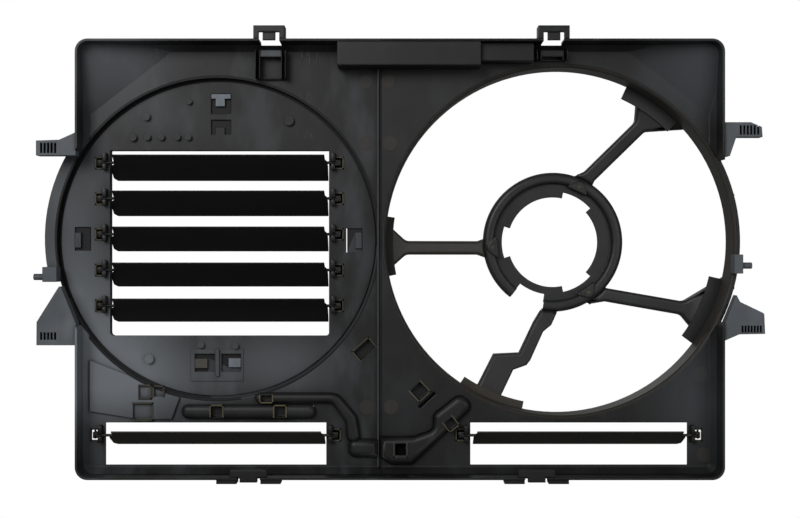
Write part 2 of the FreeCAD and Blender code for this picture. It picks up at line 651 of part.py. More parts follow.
def cable_arm():
    face = outline(ARM_OUTLINE)
    inner = inset(face, ARM_WALL, sharp=True)
    room = (SPOKE_END - 30, MOTOR_DEPTH + 20)
    body = prism(face, *room).common(arm_slab(0, SPOKE_TALL))
    body = body.cut(prism(inner, *room).common(arm_slab(ARM_WALL, SPOKE_TALL)))
    body = body.common(tube(0, 0, RING_OUTER_R + SEAM, RING_BACK_R, FAN_RING_END, MOTOR_DEPTH - SPOKE_SETBACK))
    pad = sector(PAD_INNER_FLAT_R, RING_BACK_R, *ARM_PAD, FAN_RING_END, FAN_RING_END + PAD_THICK)
    return fuse([body, pad])


# Small features of the tray
def divider():
    x0 = DIVIDER_X - DIVIDER_THICK / 2
    return box(x0, x0 + DIVIDER_THICK, PANEL_DEPTH - DIVIDER_HEIGHT, PANEL_DEPTH,
               TRAY_BOTTOM + WALL + TRAY_BEVEL, BLOCK_LOW)


BLOCK_X0 = -233.4
BLOCK_X1 = -84.7
BLOCK_LOW = TRAY_TOP - 27.6
STEP_X1 = -29.3
STEP_LOW = TRAY_TOP - 21.7
STEP_DEPTH = 10.0


def ledge_block(x0, x1, low, front):
    """Hollow block under the upper wall, open where it stands on the panel."""
    high = TRAY_TOP - WALL
    outer = box(x0, x1, front, PANEL_DEPTH, low, high)
    inner = box(x0 + WALL, x1 - WALL, front + WALL, PANEL_DEPTH + 1, low + WALL, high - WALL)
    corner = box(x0 - 1, x1 + 1, PANEL_DEPTH - TRAY_BEVEL, PANEL_DEPTH + 1, high - TRAY_BEVEL, high + 1)
    return outer.cut(inner).cut(corner)


LATCH_WIDTH = 32.3
LATCH_RISE = 13.6          # above the tray
LATCH_BAR = 6.8            # bridge that the tongue hangs from
LATCH_SLOT_WIDTH = 21.2
LATCH_TONGUE = 13.2
TONGUE_END = 1.7           # tongue's tip under the tray's upper edge
LATCH_THICK = 4.0
TONGUE_THICK = 2.5
LATCH_RAIL = 2.0
LATCH_DEEP = 18.0
LATCH_RAMP_DROP = 9.5      # ramp between the rails, under the upper edge
LATCH_RAMP = 6.5
RAIL_RISE = 16.0           # rails over the panel
RAIL_GAP = 3.2             # between the two rails of a side
LATCHES = {"latch_left": -319.6, "latch_right": -25.8}
RAIL_ENDS = {"latch_left": 38.7, "latch_right": 19.7}


def latch_notch(x0):
    slot_x = x0 + (LATCH_WIDTH - LATCH_SLOT_WIDTH) / 2
    return box(slot_x, slot_x + LATCH_SLOT_WIDTH, -1, PANEL_BACK + 1, TRAY_TOP - WALL - 0.8, TRAY_TOP + 1)


def latch(x0):
    """Snap latch: a frame above the rim, with a sprung tongue that hangs into the wall's notch."""
    x1 = x0 + LATCH_WIDTH
    top = TRAY_TOP + LATCH_RISE
    tab = box(x0, x1, 0, LATCH_THICK, TRAY_TOP, top)
    cheeks = [box(x, x + LATCH_RAIL, LATCH_THICK - 0.5, LATCH_DEEP, TRAY_TOP, top)
              for x in (x0, x1 - LATCH_RAIL)]
    slot_x = (x0 + x1 - LATCH_SLOT_WIDTH) / 2
    slot = box(slot_x, slot_x + LATCH_SLOT_WIDTH, -1, LATCH_THICK + 1, TRAY_TOP - 1, top - LATCH_BAR)
    tongue_x = (x0 + x1 - LATCH_TONGUE) / 2
    tongue = box(tongue_x, tongue_x + LATCH_TONGUE, 0.5, 0.5 + TONGUE_THICK, TRAY_TOP - TONGUE_END,
                 top - LATCH_BAR + 0.5)
    return fuse([tab.cut(slot), tongue] + cheeks)


def latch_rails(x0, drop):
    """Double rails under a latch, from the upper wall down the panel, with a ramp between."""
    x1 = x0 + LATCH_WIDTH
    high = TRAY_TOP - WALL - TRAY_BEVEL
    low = TRAY_TOP - drop
    front = PANEL_DEPTH - RAIL_RISE
    step = LATCH_RAIL / 2 + RAIL_GAP
    rails = [box(x, x + LATCH_RAIL / 2, front + f, PANEL_DEPTH, low, high)
             for x, f in ((x0, 0), (x0 + step, 2), (x1 - step - LATCH_RAIL / 2, 2), (x1 - LATCH_RAIL / 2, 0))]
    crest = TRAY_TOP - LATCH_RAMP_DROP
    ramp = box(x0 + step, x1 - step, front + 4, front + 6, crest - LATCH_RAMP, high)
    sill = box(x0, x1, PANEL_DEPTH - 5, PANEL_DEPTH, low, low + 1.5)
    return fuse(rails + [ramp, sill])


GUIDE_FRONT = 4.0
GUIDE_THICK = 14.0
RIB_GAP = 2.0
GUIDES = [
    {"name": "guide_upper_left", "corners": [
        (-544.7, 104.0), (-520.8, 104.8), (TRAY_LEFT, 112.7), (TRAY_LEFT, 88.5), (-544.7, 88.5)],
     "cuts": (-541.0, -523.0, 5, 91.0, 101.5)},
    {"name": "guide_lower_left", "corners": [
        (-521.0, -47.0), (-544.0, -83.7), (-544.2, -107.7), (TRAY_LEFT, -107.7), (TRAY_LEFT, -85.0),
        (-519.0, -47.0)],
     "cuts": (-541.0, -523.0, 5, -102.0, -94.5)},
    {"name": "guide_upper_right", "corners": [
        (TRAY_RIGHT, 122.9), (TRAY_RIGHT + 27.7, 122.9, 3), (TRAY_RIGHT + 39.0, 118.0),
        (TRAY_RIGHT + 39.8, 107.7), (TRAY_RIGHT + 12.7, 107.7), (TRAY_RIGHT + 6, 88.0), (TRAY_RIGHT, 88.0)],
     "cuts": (182.0, 203.5, 6, 110.0, 119.5)},
    {"name": "guide_lower_right", "corners": [
        (TRAY_RIGHT + 13.0, -56.0), (TRAY_RIGHT + 16.6, -62.8), (TRAY_RIGHT + 41.5, -74.7, 3),
        (TRAY_RIGHT + 42.4, -95.9), (TRAY_RIGHT + 15.7, -96.4), (TRAY_RIGHT, -103.3), (TRAY_RIGHT, -87.5)],
     "cuts": (184.0, 206.0, 7, -94.5, -87.5)},
]


def guide(spec):
    body = plate(spec["corners"], GUIDE_FRONT, GUIDE_FRONT + GUIDE_THICK)
    x0, x1, count, z0, z1 = spec["cuts"]
    pitch = (x1 - x0) / count
    for i in range(count):
        left = x0 + (i + 0.5) * pitch - RIB_GAP / 2
        body = body.cut(box(left, left + RIB_GAP, GUIDE_FRONT - 1, GUIDE_FRONT + GUIDE_THICK - 2, z0, z1))
    return body


PIN_R = 3.35
PIN_LENGTH = 10.8
PIN_DEPTH = 22.0
PINS = [
    {"name": "locating_pin_right", "side": 1, "x": FAN_FLANGE_R - 1.0, "z": -25.4, "root": 9.0,
     "block": (-33.7, -13.8)},
    {"name": "locating_pin_left", "side": -1, "x": COVER_X - LEFT_FLANGE_R + 1.7, "z": -37.3, "root": 15.0,
     "block": (-42.4, -26.8)},
]
PIN_BLOCK_RISE = 16.0


def locating_pin(spec):
    """Pin that enters the radiator's side tank, on a block seated on the ring flange."""
    x, side = spec["x"], spec["side"]
    x0, x1 = span(x - side * spec["root"], x)
    block = box(x0, x1, PANEL_DEPTH - PIN_BLOCK_RISE, PANEL_DEPTH, *spec["block"])
    pin = Part.makeCylinder(PIN_R, PIN_LENGTH, V(x, at(PIN_DEPTH), spec["z"]), V(side, 0, 0))
    return fuse([block, pin])


FOOT_HALF = 33.3
FOOT_BLOCK = 21.0
FOOT_DROP = 4.5
FOOT_TONGUE = 18.0
FOOT_SLIT = 3.0
FOOT_SLIT_RISE = 3.6       # slit's end over the lower wall's outer face
FEET = {"foot_left": -324.8, "foot_right": -27.3}


def foot_slits(centre):
    """Slits in the lower wall beside the sprung tongue, and the room it stands in."""
    half = FOOT_TONGUE / 2
    slits = [box(x, x + FOOT_SLIT, -1, PANEL_BACK + 1, TRAY_BOTTOM - 1, TRAY_BOTTOM + FOOT_SLIT_RISE)
             for x in (centre - half - FOOT_SLIT, centre + half)]
    room = box(centre - half, centre + half, -1, FOOT_DEEP, TRAY_BOTTOM - 1, TRAY_BOTTOM + FOOT_SLIT_RISE)
    return fuse(slits + [room])


def foot(centre):
    """Clip foot under the tray: two blocks, joined by a strip behind."""
    base = TRAY_BOTTOM
    left, right = centre - FOOT_HALF, centre + FOOT_HALF
    blocks = [box(x, x + FOOT_BLOCK, 2, FOOT_DEEP, base - FOOT_DROP, base) for x in (left, right - FOOT_BLOCK)]
    strip = box(left, right, FOOT_DEEP - 2, FOOT_DEEP, base - 1.2, base)
    return fuse(blocks + [strip])


def foot_tongue(centre):
    """Sprung tongue between the blocks, hung from a bracket on the wall's inside."""
    half = FOOT_TONGUE / 2
    rest = TRAY_BOTTOM + WALL
    wide = half + FOOT_SLIT + BRACKET_SEAT
    bracket = box(centre - wide, centre + wide, 0.5, BRACKET_DEEP, rest, rest + BRACKET_RISE)
    tongue = box(centre - half, centre + half, 0.5, BRACKET_DEEP, TRAY_BOTTOM - FOOT_DROP + 1.8, rest + 1)
    return fuse([bracket, tongue])


FOOT_DEEP = 18.0
BRACKET_SEAT = 7.0
BRACKET_DEEP = 7.0
BRACKET_RISE = 8.0


HOOK_PLATE = [
    (TRAY_LEFT + WALL + TRAY_BEVEL, -125.0), (-437.4, -147.4), (-399.0, -160.8), (-408.5, -187.0),
    (-442.4, -187.0), (TRAY_LEFT + WALL + TRAY_BEVEL, -178.5)]
HOOK_PLATE_RISE = 4.0
# Hook windows in the plate, low and high x, then low and high z
PLATE_WINDOWS = [
    (-443.2, -428.7, -166.4, -151.6),
    (-427.3, -415.2, -163.0, -153.5),
    (-449.0, -427.8, -186.0, -169.5),
]


def hook_plate():
    body = plate(HOOK_PLATE, PANEL_DEPTH - HOOK_PLATE_RISE, PANEL_DEPTH)
    for x0, x1, z0, z1 in PLATE_WINDOWS:
        body = body.cut(box(x0, x1, PANEL_DEPTH - HOOK_PLATE_RISE - 1, PANEL_DEPTH + 1, z0, z1))
    return body.cut(disc(COVER_X, COVER_Z, LEFT_RING_R + WALL + SEAM, 0, PANEL_BACK))


def build():
    whole = tray()
    far = 2 * TRAY_WIDTH
    half_left = box(TRAY_SPLIT - far, TRAY_SPLIT, -50, 150, -far, far)
    half_right = box(TRAY_SPLIT, TRAY_SPLIT + far, -50, 150, -far, far)
    nodes = {
        "tray_left": whole.common(half_left),
        "tray_right": whole.common(half_right),
        "divider_rib": divider(),
        "fan_ring": fan_ring(),
        "louvre_ring": left_ring(),
        "louvre_cover": cover(),
        "window_frame": window_frame(),
        "motor_ring": motor_ring(),
        "cable_arm": cable_arm(),
        "top_block": ledge_block(BLOCK_X0, BLOCK_X1, BLOCK_LOW, 0.0),
        "step_block": ledge_block(BLOCK_X1, STEP_X1, STEP_LOW, STEP_DEPTH),
        "hook_plate": hook_plate(),
    }
    for name, x0 in LATCHES.items():
        nodes[name] = latch(x0)
        nodes[name.replace("latch", "latch_rails")] = latch_rails(x0, RAIL_ENDS[name])
    for name, centre in FEET.items():
        nodes[name] = foot(centre)
        nodes[name.replace("foot", "foot_tongue")] = foot_tongue(centre)
    for spec in PINS:
        nodes[spec["name"]] = locating_pin(spec)
    for spec in SPOKES:
        nodes[spec["name"]] = spoke(spec)
    for spec in DUCTS:
        nodes[spec["name"]] = duct(spec)
    for spec in GUIDES:
        nodes[spec["name"]] = guide(spec)
    for slot in [MAIN] + SLOTS:
        for row in range(slot["rows"]):
            number = f"_{row + 1}" if slot["rows"] > 1 else ""
            nodes[f"{slot['name']}_flap{number}"] = flap(slot, row)
            nodes[f"{slot['name']}_bearing{number}_a"] = bearing(slot, -1, row)
            nodes[f"{slot['name']}_bearing{number}_b"] = bearing(slot, 1, row)
    return nodes


os.makedirs("parts", exist_ok=True)
for name, shape in build().items():
    shape.exportStep(f"parts/{name}.step")
    print(name, len(shape.Solids), round(shape.Volume / 1000, 1), shape.isValid())
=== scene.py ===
import bpy
import bmesh
import json
import math
from mathutils import Matrix, Vector


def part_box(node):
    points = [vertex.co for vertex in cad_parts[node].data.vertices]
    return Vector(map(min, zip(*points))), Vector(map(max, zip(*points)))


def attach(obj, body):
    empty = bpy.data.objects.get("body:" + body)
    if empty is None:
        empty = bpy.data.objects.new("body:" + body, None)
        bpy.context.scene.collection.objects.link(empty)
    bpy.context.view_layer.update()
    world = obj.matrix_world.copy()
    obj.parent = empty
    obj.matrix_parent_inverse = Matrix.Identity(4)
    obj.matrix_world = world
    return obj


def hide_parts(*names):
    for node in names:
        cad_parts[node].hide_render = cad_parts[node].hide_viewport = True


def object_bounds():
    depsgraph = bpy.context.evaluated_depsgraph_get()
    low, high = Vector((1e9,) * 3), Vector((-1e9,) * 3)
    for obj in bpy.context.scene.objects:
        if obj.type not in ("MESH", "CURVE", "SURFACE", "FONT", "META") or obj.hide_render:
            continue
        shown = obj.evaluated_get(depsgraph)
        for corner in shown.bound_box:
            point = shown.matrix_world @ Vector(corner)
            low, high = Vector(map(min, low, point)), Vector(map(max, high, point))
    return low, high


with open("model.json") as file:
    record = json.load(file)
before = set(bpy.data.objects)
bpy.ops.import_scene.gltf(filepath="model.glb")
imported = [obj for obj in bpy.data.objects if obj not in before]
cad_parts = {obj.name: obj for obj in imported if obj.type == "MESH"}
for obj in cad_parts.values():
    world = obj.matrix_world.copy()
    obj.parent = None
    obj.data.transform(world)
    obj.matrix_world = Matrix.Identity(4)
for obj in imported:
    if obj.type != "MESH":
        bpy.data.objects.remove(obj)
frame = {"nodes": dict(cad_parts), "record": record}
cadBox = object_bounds()


# Places that the rest is worked out from, read from the frame, in metres
mm = 0.001
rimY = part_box("tray_left")[0].y
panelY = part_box("divider_rib")[1].y
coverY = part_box("louvre_cover")[0].y


def inMetres(values):
    return tuple(value * mm for value in values)


# Nodes of shaders and of geometry alike
def put(tree, kind, inputs=None, **settings):
    node = tree.nodes.new(kind)
    for key, value in settings.items():
        setattr(node, key, value)
    for key, value in (inputs or {}).items():
        socket = node.inputs[key]
        if isinstance(value, bpy.types.NodeSocket):
            tree.links.new(value, socket)
        else:
            socket.default_value = value
    return node


def mathNode(tree, operation, a, b=0.0, clamp=False):
    return put(tree, "ShaderNodeMath", {0: a, 1: b}, operation=operation, use_clamp=clamp).outputs[0]


def product(tree, a, b, clamp=False):
    return mathNode(tree, "MULTIPLY", a, b, clamp)


def added(tree, a, b, clamp=False):
    return mathNode(tree, "ADD", a, b, clamp)


# Shader building
def newMaterial(name):
    material = bpy.data.materials.new(name)
    material.use_nodes = True
    tree = material.node_tree
    tree.nodes.clear()
    return material, tree


def mixColour(tree, factor, a, b):
    return put(tree, "ShaderNodeMix", {0: factor, 6: a, 7: b}, data_type="RGBA").outputs[2]


def noise(tree, vector, scale, detail=3.0, rough=0.55):
    return put(tree, "ShaderNodeTexNoise", {"Vector": vector, "Scale": scale, "Detail": detail,
                                            "Roughness": rough}).outputs["Fac"]


def band(tree, value, low, high):
    return put(tree, "ShaderNodeMapRange", {"Value": value, "From Min": low, "From Max": high},
               interpolation_type="SMOOTHSTEP").outputs["Result"]


def placed(tree, vector, scale, turn=(0, 0, 0), shift=(0, 0, 0)):
    return put(tree, "ShaderNodeMapping", {"Vector": vector, "Scale": scale, "Rotation": turn,
                                           "Location": shift}).outputs["Vector"]


# Linear colour from the brightness that a grey has on a screen, with a lean towards blue or brown
def tone(level, lean=(0, 0, 0)):
    shown = [(level + part) / 255.0 for part in lean]
    return tuple(((value + 0.055) / 1.055) ** 2.4 if value > 0.04 else value / 12.92
                 for value in shown) + (1.0,)


coolLean = (-4, 1, 6)
warmLean = (3, 1, -4)

# What each finish of the one moulded plastic changes: mould radius in mm, tones, and how much lies on it
finishes = {
    "trayPlastic": {
        "radius": 2.2, "base": tone(19), "worn": tone(27), "dust": tone(72, coolLean),
        "smears": 0.12, "scratches": 0.30, "rough": 0.46, "spots": "traySpots"},
    "dustyPlastic": {
        "radius": 0.9, "base": tone(15), "worn": tone(22), "dust": tone(112, coolLean),
        "smears": 0.16, "scratches": 0.40, "rough": 0.50, "spots": "coverSpots"},
    # a darker copy of the same plastic: painted shade for the ring's gap and the frame seen deep in the
    # openings
    "recessPlastic": {
        "radius": 0.6, "base": tone(9), "worn": tone(13), "dust": tone(34, coolLean),
        "smears": 0.10, "scratches": 0.0, "rough": 0.60},
    "guidePlastic": {
        "radius": 0.8, "base": tone(72, coolLean), "worn": tone(88, coolLean), "dust": tone(120, coolLean),
        "smears": 0.35, "scratches": 0.35, "rough": 0.50},
    # a lighter copy of the same plastic: painted highlight for the soft light on the spokes, motor ring, cable
    # arm and fan ring
    "spokePlastic": {
        "radius": 2.0, "base": tone(33), "worn": tone(42), "dust": tone(66, coolLean),
        "smears": 0.10, "scratches": 0.15, "rough": 0.40},
    "flapBlack": {
        "radius": 0.5, "base": tone(12), "worn": tone(16), "dust": tone(26),
        "smears": 0.05, "scratches": 0.06, "rough": 0.55},
    "flapOlive": {
        "radius": 0.5, "base": tone(36, warmLean), "worn": tone(46, warmLean), "dust": tone(56, warmLean),
        "smears": 0.25, "scratches": 0.12, "rough": 0.62},
    "tanRim": {
        "radius": 0.4, "base": tone(44, (4, 1, -8)), "worn": tone(74, (9, 2, -18)),
        "dust": tone(96, (6, 2, -14)), "smears": 0.4, "scratches": 0.0, "rough": 0.6},
    "markPlastic": {
        "radius": 0.5, "base": tone(33, (4, 1, -3)), "worn": tone(42, (5, 1, -4)), "dust": tone(72, coolLean),
        "smears": 0.12, "scratches": 0.30, "rough": 0.52, "spots": "traySpots"},
    "coverMarkPlastic": {
        "radius": 0.5, "base": tone(17), "worn": tone(26), "dust": tone(112, coolLean),
        "smears": 0.16, "scratches": 0.40, "rough": 0.50, "spots": "coverSpots"},
    "bearingBlack": {
        "radius": 0.4, "base": tone(10), "worn": tone(15), "dust": tone(40, warmLean),
        "smears": 0.10, "scratches": 0.05, "rough": 0.42},
}

# Soft paler places in the bloom on the skin: centre and reach in mm, and how strong
softSpots = {
    "traySpots": [
        {"at": (-470, 180), "reach": (95, 75), "amount": 0.85},
        {"at": (140, 178), "reach": (80, 70), "amount": 0.62},
        {"at": (140, -170), "reach": (70, 80), "amount": 0.38},
        {"at": (-520, 0), "reach": (40, 150), "amount": 0.55},
        {"at": (-490, -160), "reach": (60, 80), "amount": 0.45},
    ],
    "coverSpots": [
        {"at": (-475, 185), "reach": (100, 80), "amount": 0.42},
        {"at": (-500, -110), "reach": (150, 130), "amount": 1.0},
        {"at": (-440, -150), "reach": (120, 60), "amount": 0.45},
        {"at": (-520, 20), "reach": (70, 120), "amount": 0.40},
        {"at": (-300, -130), "reach": (110, 60), "amount": 0.40},
        {"at": (-420, 130), "reach": (70, 40), "amount": 0.12},
    ],
}
plasticSkin = {
    "cloudScale": 7.0,         # broad unevenness of the black
    "mottleScale": 60.0,       # small unevenness, also at the edges of painted places
    "mottleShare": 0.25,
    "wornBand": (0.36, 0.66),
    "smearStretch": (26, 10, 11),
    "smearTurn": 0.5,
    "smearBand": (0.46, 0.70),
    "scratchStretch": (210, 210, 9),
    "scratchRuns": ((0.9, 0.0), (-0.35, 3.7), (2.2, 9.1)),    # turn and shift of each run of scratches
    "scratchWidth": 0.006,
    "scratchPatches": 17.0,
    "patchBand": (0.60, 0.72),
    "cornerReach": 0.014,      # reach of the painted shade in corners and recesses, in metres
    # band, near-black tone and share of that painted shade
    "cornerBand": (0.20, 0.92),
    "cornerTone": tone(8),
    "cornerShare": 0.72,
    "grainScale": 1500.0,      # spark-eroded grain of the mould
    "grainBump": 0.05,
    "waveScale": 45.0,         # slight sink and flow of the skin
    "waveBump": 0.22,
    "bumpDepth": 0.0002,
    "specular": 0.34,
    # the near-black paint is painted shade for the insides of hook windows, wells and pockets
    "paints": {"pale": tone(128, (-6, 2, 10)), "tan": tone(92, (10, 1, -20)), "dark": tone(7)},
}


# Sum of the soft places of one list, each falling off from its centre
def spotSum(tree, place, spots):
    total = None
    for spot in spots:
        x, z = inMetres(spot["at"])
        wide, tall = inMetres(spot["reach"])
        local = placed(tree, place, (1 / wide, 0, 1 / tall), shift=(-x / wide, 0, -z / tall))
        away = put(tree, "ShaderNodeVectorMath", {0: local}, operation="LENGTH").outputs["Value"]
        glow = product(tree, band(tree, away, 1.0, 0.0), spot["amount"])
        total = glow if total is None else added(tree, total, glow)
    return total


# Bloom lies in soft patches, with faint smears across it
def bloomOn(tree, place, cloud, look):
    dragged = placed(tree, place, plasticSkin["smearStretch"], (0, plasticSkin["smearTurn"], 0))
    drag = noise(tree, dragged, 1.0)
    bloom = product(tree, band(tree, drag, *plasticSkin["smearBand"]), look["smears"])
    if "spots" not in look:
        return bloom
    patches = spotSum(tree, place, softSpots[look["spots"]])
    uneven = added(tree, product(tree, cloud, 0.5), 0.75)
    return added(tree, bloom, product(tree, patches, uneven), True)


# Scratches: thin bright lines where a stretched noise crosses its middle
def scratchesOn(tree, place, amount):
    scored = 0.0
    for turn, shift in plasticSkin["scratchRuns"]:
        drawn = placed(tree, place, plasticSkin["scratchStretch"], (0, turn, 0), (shift, 0, 0))
        away = mathNode(tree, "ABSOLUTE", mathNode(tree, "SUBTRACT", noise(tree, drawn, 1.0, 1.0), 0.5))
        scored = mathNode(tree, "MAXIMUM", scored, band(tree, away, plasticSkin["scratchWidth"], 0.0))
    patch = band(tree, noise(tree, place, plasticSkin["scratchPatches"], 2.0), *plasticSkin["patchBand"])
    return product(tree, product(tree, scored, patch), amount)


# Grain and waves of the skin, over mould radii that the shader gives to the finely rounded mesh
def skinNormal(tree, place, radius):
    normal = put(tree, "ShaderNodeBevel", {"Radius": radius}, samples=6).outputs["Normal"]
    for kind in ("grain", "wave"):
        height = noise(tree, place, plasticSkin[kind + "Scale"], 2.0)
        bump = put(tree, "ShaderNodeBump", {"Strength": plasticSkin[kind + "Bump"], "Height": height,
                                            "Distance": plasticSkin["bumpDepth"], "Normal": normal})
        normal = bump.outputs["Normal"]
    return normal


def mouldedPlastic(name, look):
    material, tree = newMaterial(name)
    place = put(tree, "ShaderNodeTexCoord").outputs["Object"]
    cloud = noise(tree, place, plasticSkin["cloudScale"], 3.0, 0.5)
    mottle = noise(tree, place, plasticSkin["mottleScale"])
    share = plasticSkin["mottleShare"]
    worn = added(tree, product(tree, cloud, 1.0 - share), product(tree, mottle, share))
    colour = mixColour(tree, band(tree, worn, *plasticSkin["wornBand"]), look["base"], look["worn"])
    bloom = bloomOn(tree, place, cloud, look)
    colour = mixColour(tree, bloom, colour, look["dust"])
    colour = mixColour(tree, scratchesOn(tree, place, look["scratches"]), colour, look["dust"])
    # painted shade: corners and recesses go darker by ambient occlusion, as shade and a little soil would make
    # them
    corner = put(tree, "ShaderNodeAmbientOcclusion", {"Distance": plasticSkin["cornerReach"]}, samples=6)
    openShare = band(tree, corner.outputs["AO"], *plasticSkin["cornerBand"])
    cornerShaded = mixColour(tree, plasticSkin["cornerShare"], colour, plasticSkin["cornerTone"])
    colour = mixColour(tree, openShare, cornerShaded, colour)
    # painted places: worn pale plastic, tan rims, and painted shade inside the hook windows, wells and pockets
    for label, paint in plasticSkin["paints"].items():
        covered = put(tree, "ShaderNodeAttribute", attribute_name=label).outputs["Fac"]
        uneven = added(tree, product(tree, mottle, 0.8), 0.55)
        colour = mixColour(tree, product(tree, covered, uneven, True), colour, paint)
    uneven = product(tree, mathNode(tree, "SUBTRACT", cloud, 0.5), 0.25)
    roughness = added(tree, uneven, added(tree, product(tree, bloom, 0.20), look["rough"]), True)
    shader = put(tree, "ShaderNodeBsdfPrincipled", {
        "Base Color": colour, "Roughness": roughness, "Specular IOR Level": plasticSkin["specular"],
        "Normal": skinNormal(tree, place, look["radius"] * mm)})
    put(tree, "ShaderNodeOutputMaterial", {"Surface": shader.outputs["BSDF"]})
    return material


materials = {name: mouldedPlastic(name, look) for name, look in finishes.items()}
usualFinish = {
    "tray_plastic": "trayPlastic", "dusty_plastic": "dustyPlastic", "flap_black_plastic": "flapBlack",
    "flap_olive_plastic": "flapOlive", "bearing_plastic": "bearingBlack",
}
ownFinish = {
    # the louvre ring and window frame take the darker copy as painted shade
    "louvre_ring": "recessPlastic", "window_frame": "recessPlastic",
    "guide_upper_left": "guidePlastic", "guide_lower_left": "guidePlastic",
    "guide_upper_right": "guidePlastic", "guide_lower_right": "guidePlastic",
    "locating_pin_left": "guidePlastic", "locating_pin_right": "guidePlastic",
    # the fan ring, spokes, motor ring and cable arm take the lighter copy as painted highlight
    "motor_ring": "spokePlastic", "spoke_left": "spokePlastic", "spoke_upper_right": "spokePlastic",
    "spoke_lower_right": "spokePlastic", "cable_arm": "spokePlastic", "fan_ring": "spokePlastic",
}
print("materials:", len(materials))


# Objects and meshes
slotOf = {part["node"]: part["material_slot"] for part in frame["record"]["subparts"]}
bodyOf = {node: body for body, group in frame["record"]["behaviour"]["bodies"].items() for node in group}


def addObject(name, data):
    thing = bpy.data.objects.new(name, data)
    bpy.context.scene.collection.objects.link(thing)
    return thing


# The plain mesh that an object's modifiers make
def madeMesh(thing):
    bpy.context.view_layer.update()
    return bpy.data.meshes.new_from_object(thing.evaluated_get(bpy.context.evaluated_depsgraph_get()))


def workFrom(mesh):
    work = bmesh.new()
    work.from_mesh(mesh)
    return work


def meshFrom(work, name):
    mesh = bpy.data.meshes.new(name)
    work.to_mesh(mesh)
    work.free()
    return mesh


def smoothed(work):
    for face in work.faces:
        face.smooth = True


def pieceName(node):
    words = node.split("_")
    return words[0] + "".join(word.capitalize() for word in words[1:])


def newPiece(name, mesh, body, slotName, finish=None):
    mesh.materials.clear()
    mesh.materials.append(materials[finish or usualFinish[slotName]])
    piece = addObject(name, mesh)
    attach(piece, body)
    return piece


# Merging distances in mm, and the angles in degrees under which two faces are one
meshRules = {"sameInNode": 0.002, "sameInShape": 0.004, "flatBefore": 0.4, "flatAfter": 0.3}


# Flat stretches lose their stray edges
def wholeFaces(work, angle):
    bmesh.ops.dissolve_limit(work, angle_limit=math.radians(angle), verts=work.verts, edges=work.edges)


# The rings are one moulding with the tray, so their walls are widened until no light passes between:
# each about the middle of the node that it is coaxial with
seamRings = {"louvre_ring": "louvre_cover", "fan_ring": "motor_ring"}
seamGrowth = 0.0012


def closeSeam(work, node):
    low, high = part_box(seamRings[node])
    centre = (low + high) / 2
    for vert in work.verts:
        vert.co.x += (vert.co.x - centre.x) * seamGrowth
        vert.co.z += (vert.co.z - centre.z) * seamGrowth


# The guides' slotted walls are cut too finely to be made whole
def takesWholeFaces(node):
    return "guide" not in node


# A copy of a node's mesh, its loose triangles joined and its flat faces made whole
def weldedWork(node):
    work = workFrom(frame["nodes"][node].data)
    bmesh.ops.remove_doubles(work, verts=work.verts, dist=meshRules["sameInNode"] * mm)
    if takesWholeFaces(node):
        wholeFaces(work, meshRules["flatBefore"])
    if node in seamRings:
        closeSeam(work, node)
    smoothed(work)
    return work


# Rounding widths in mm: fine for sharp edges, crown for the front's long edges, fold for folds of about
# 45 degrees, crease for long shallow ones
def edgePlan(fine, crown=None, fold=None, crease=0.0):
    return {"fine": fine, "crown": fine if crown is None else crown, "fold": fine if fold is None else fold,
            "crease": crease}


usualRounding = edgePlan(0.4)
rounding = {
    "tray_left": edgePlan(0.6, fold=2.6, crease=2.0),
    "tray_right": edgePlan(0.6, fold=2.6, crease=2.0),
    "fan_ring": edgePlan(0.8),
    "louvre_cover": edgePlan(0.4, crown=0.7),
    "spoke_left": edgePlan(0.0, crown=3.8),
    "spoke_upper_right": edgePlan(0.0, crown=3.8),
    "spoke_lower_right": edgePlan(0.0, crown=3.8),
    "cable_arm": edgePlan(0.0, crown=3.0),
    "divider_rib": edgePlan(0.7),
    "top_block": edgePlan(1.0),
    "step_block": edgePlan(0.8),
    "hook_plate": edgePlan(0.8),
    "locating_pin_left": edgePlan(0.8),
    "locating_pin_right": edgePlan(0.8),
}
slopingFronts = ("spoke_left", "spoke_upper_right", "spoke_lower_right", "cable_arm")
edgeRules = {
    "flat": 3.0, "sharp": 28.0, "fold": (40.0, 50.0),    # degrees between an edge's two faces
    "creaseLength": 30.0,                                # mm
    "level": 0.995, "front": 0.9, "side": 0.4,           # how far a face looks to the front, from 0 to 1
}


def roundingOf(edge, plan, sloping):
    angle = math.degrees(edge.calc_face_angle(0.0))
    if angle < edgeRules["flat"]:
        return 0.0
    if angle < edgeRules["sharp"]:
        return plan["crease"] if edge.calc_length() > edgeRules["creaseLength"] * mm else 0.0
    side, front = sorted(-face.normal.y for face in edge.link_faces)
    runsInFront = edge.is_convex and abs(side) < edgeRules["side"] and front > edgeRules["front"]
    if runsInFront and not (sloping and front > edgeRules["level"]):
        return plan["crown"]
    least, most = edgeRules["fold"]
    return plan["fold"] if least < angle < most else plan["fine"]


# Weighs each edge by its share of the widest rounding, and gives that width in metres
def weighEdges(work, plan, sloping=False):
    widest = max(plan.values())
    layer = work.edges.layers.float.new("bevel_weight_edge")
    for edge in work.edges:
        if len(edge.link_faces) == 2:
            edge[layer] = roundingOf(edge, plan, sloping) / widest
    return widest * mm


# The mesh with its weighted edges rounded, and its flat faces made whole again
def roundedMesh(mesh, width, segments=3, clamp=True, whole=True):
    holder = addObject("holder", mesh)
    bevel = holder.modifiers.new("softEdges", "BEVEL")
    bevel.width = width
    bevel.segments = segments
    bevel.limit_method = "WEIGHT"
    bevel.use_clamp_overlap = clamp
    work = workFrom(madeMesh(holder))
    bpy.data.objects.remove(holder)
    if whole:
        wholeFaces(work, meshRules["flatAfter"])
    smoothed(work)
    return meshFrom(work, mesh.name)


def evenShading(piece):
    weighted = piece.modifiers.new("evenShading", "WEIGHTED_NORMAL")
    weighted.keep_sharp = True


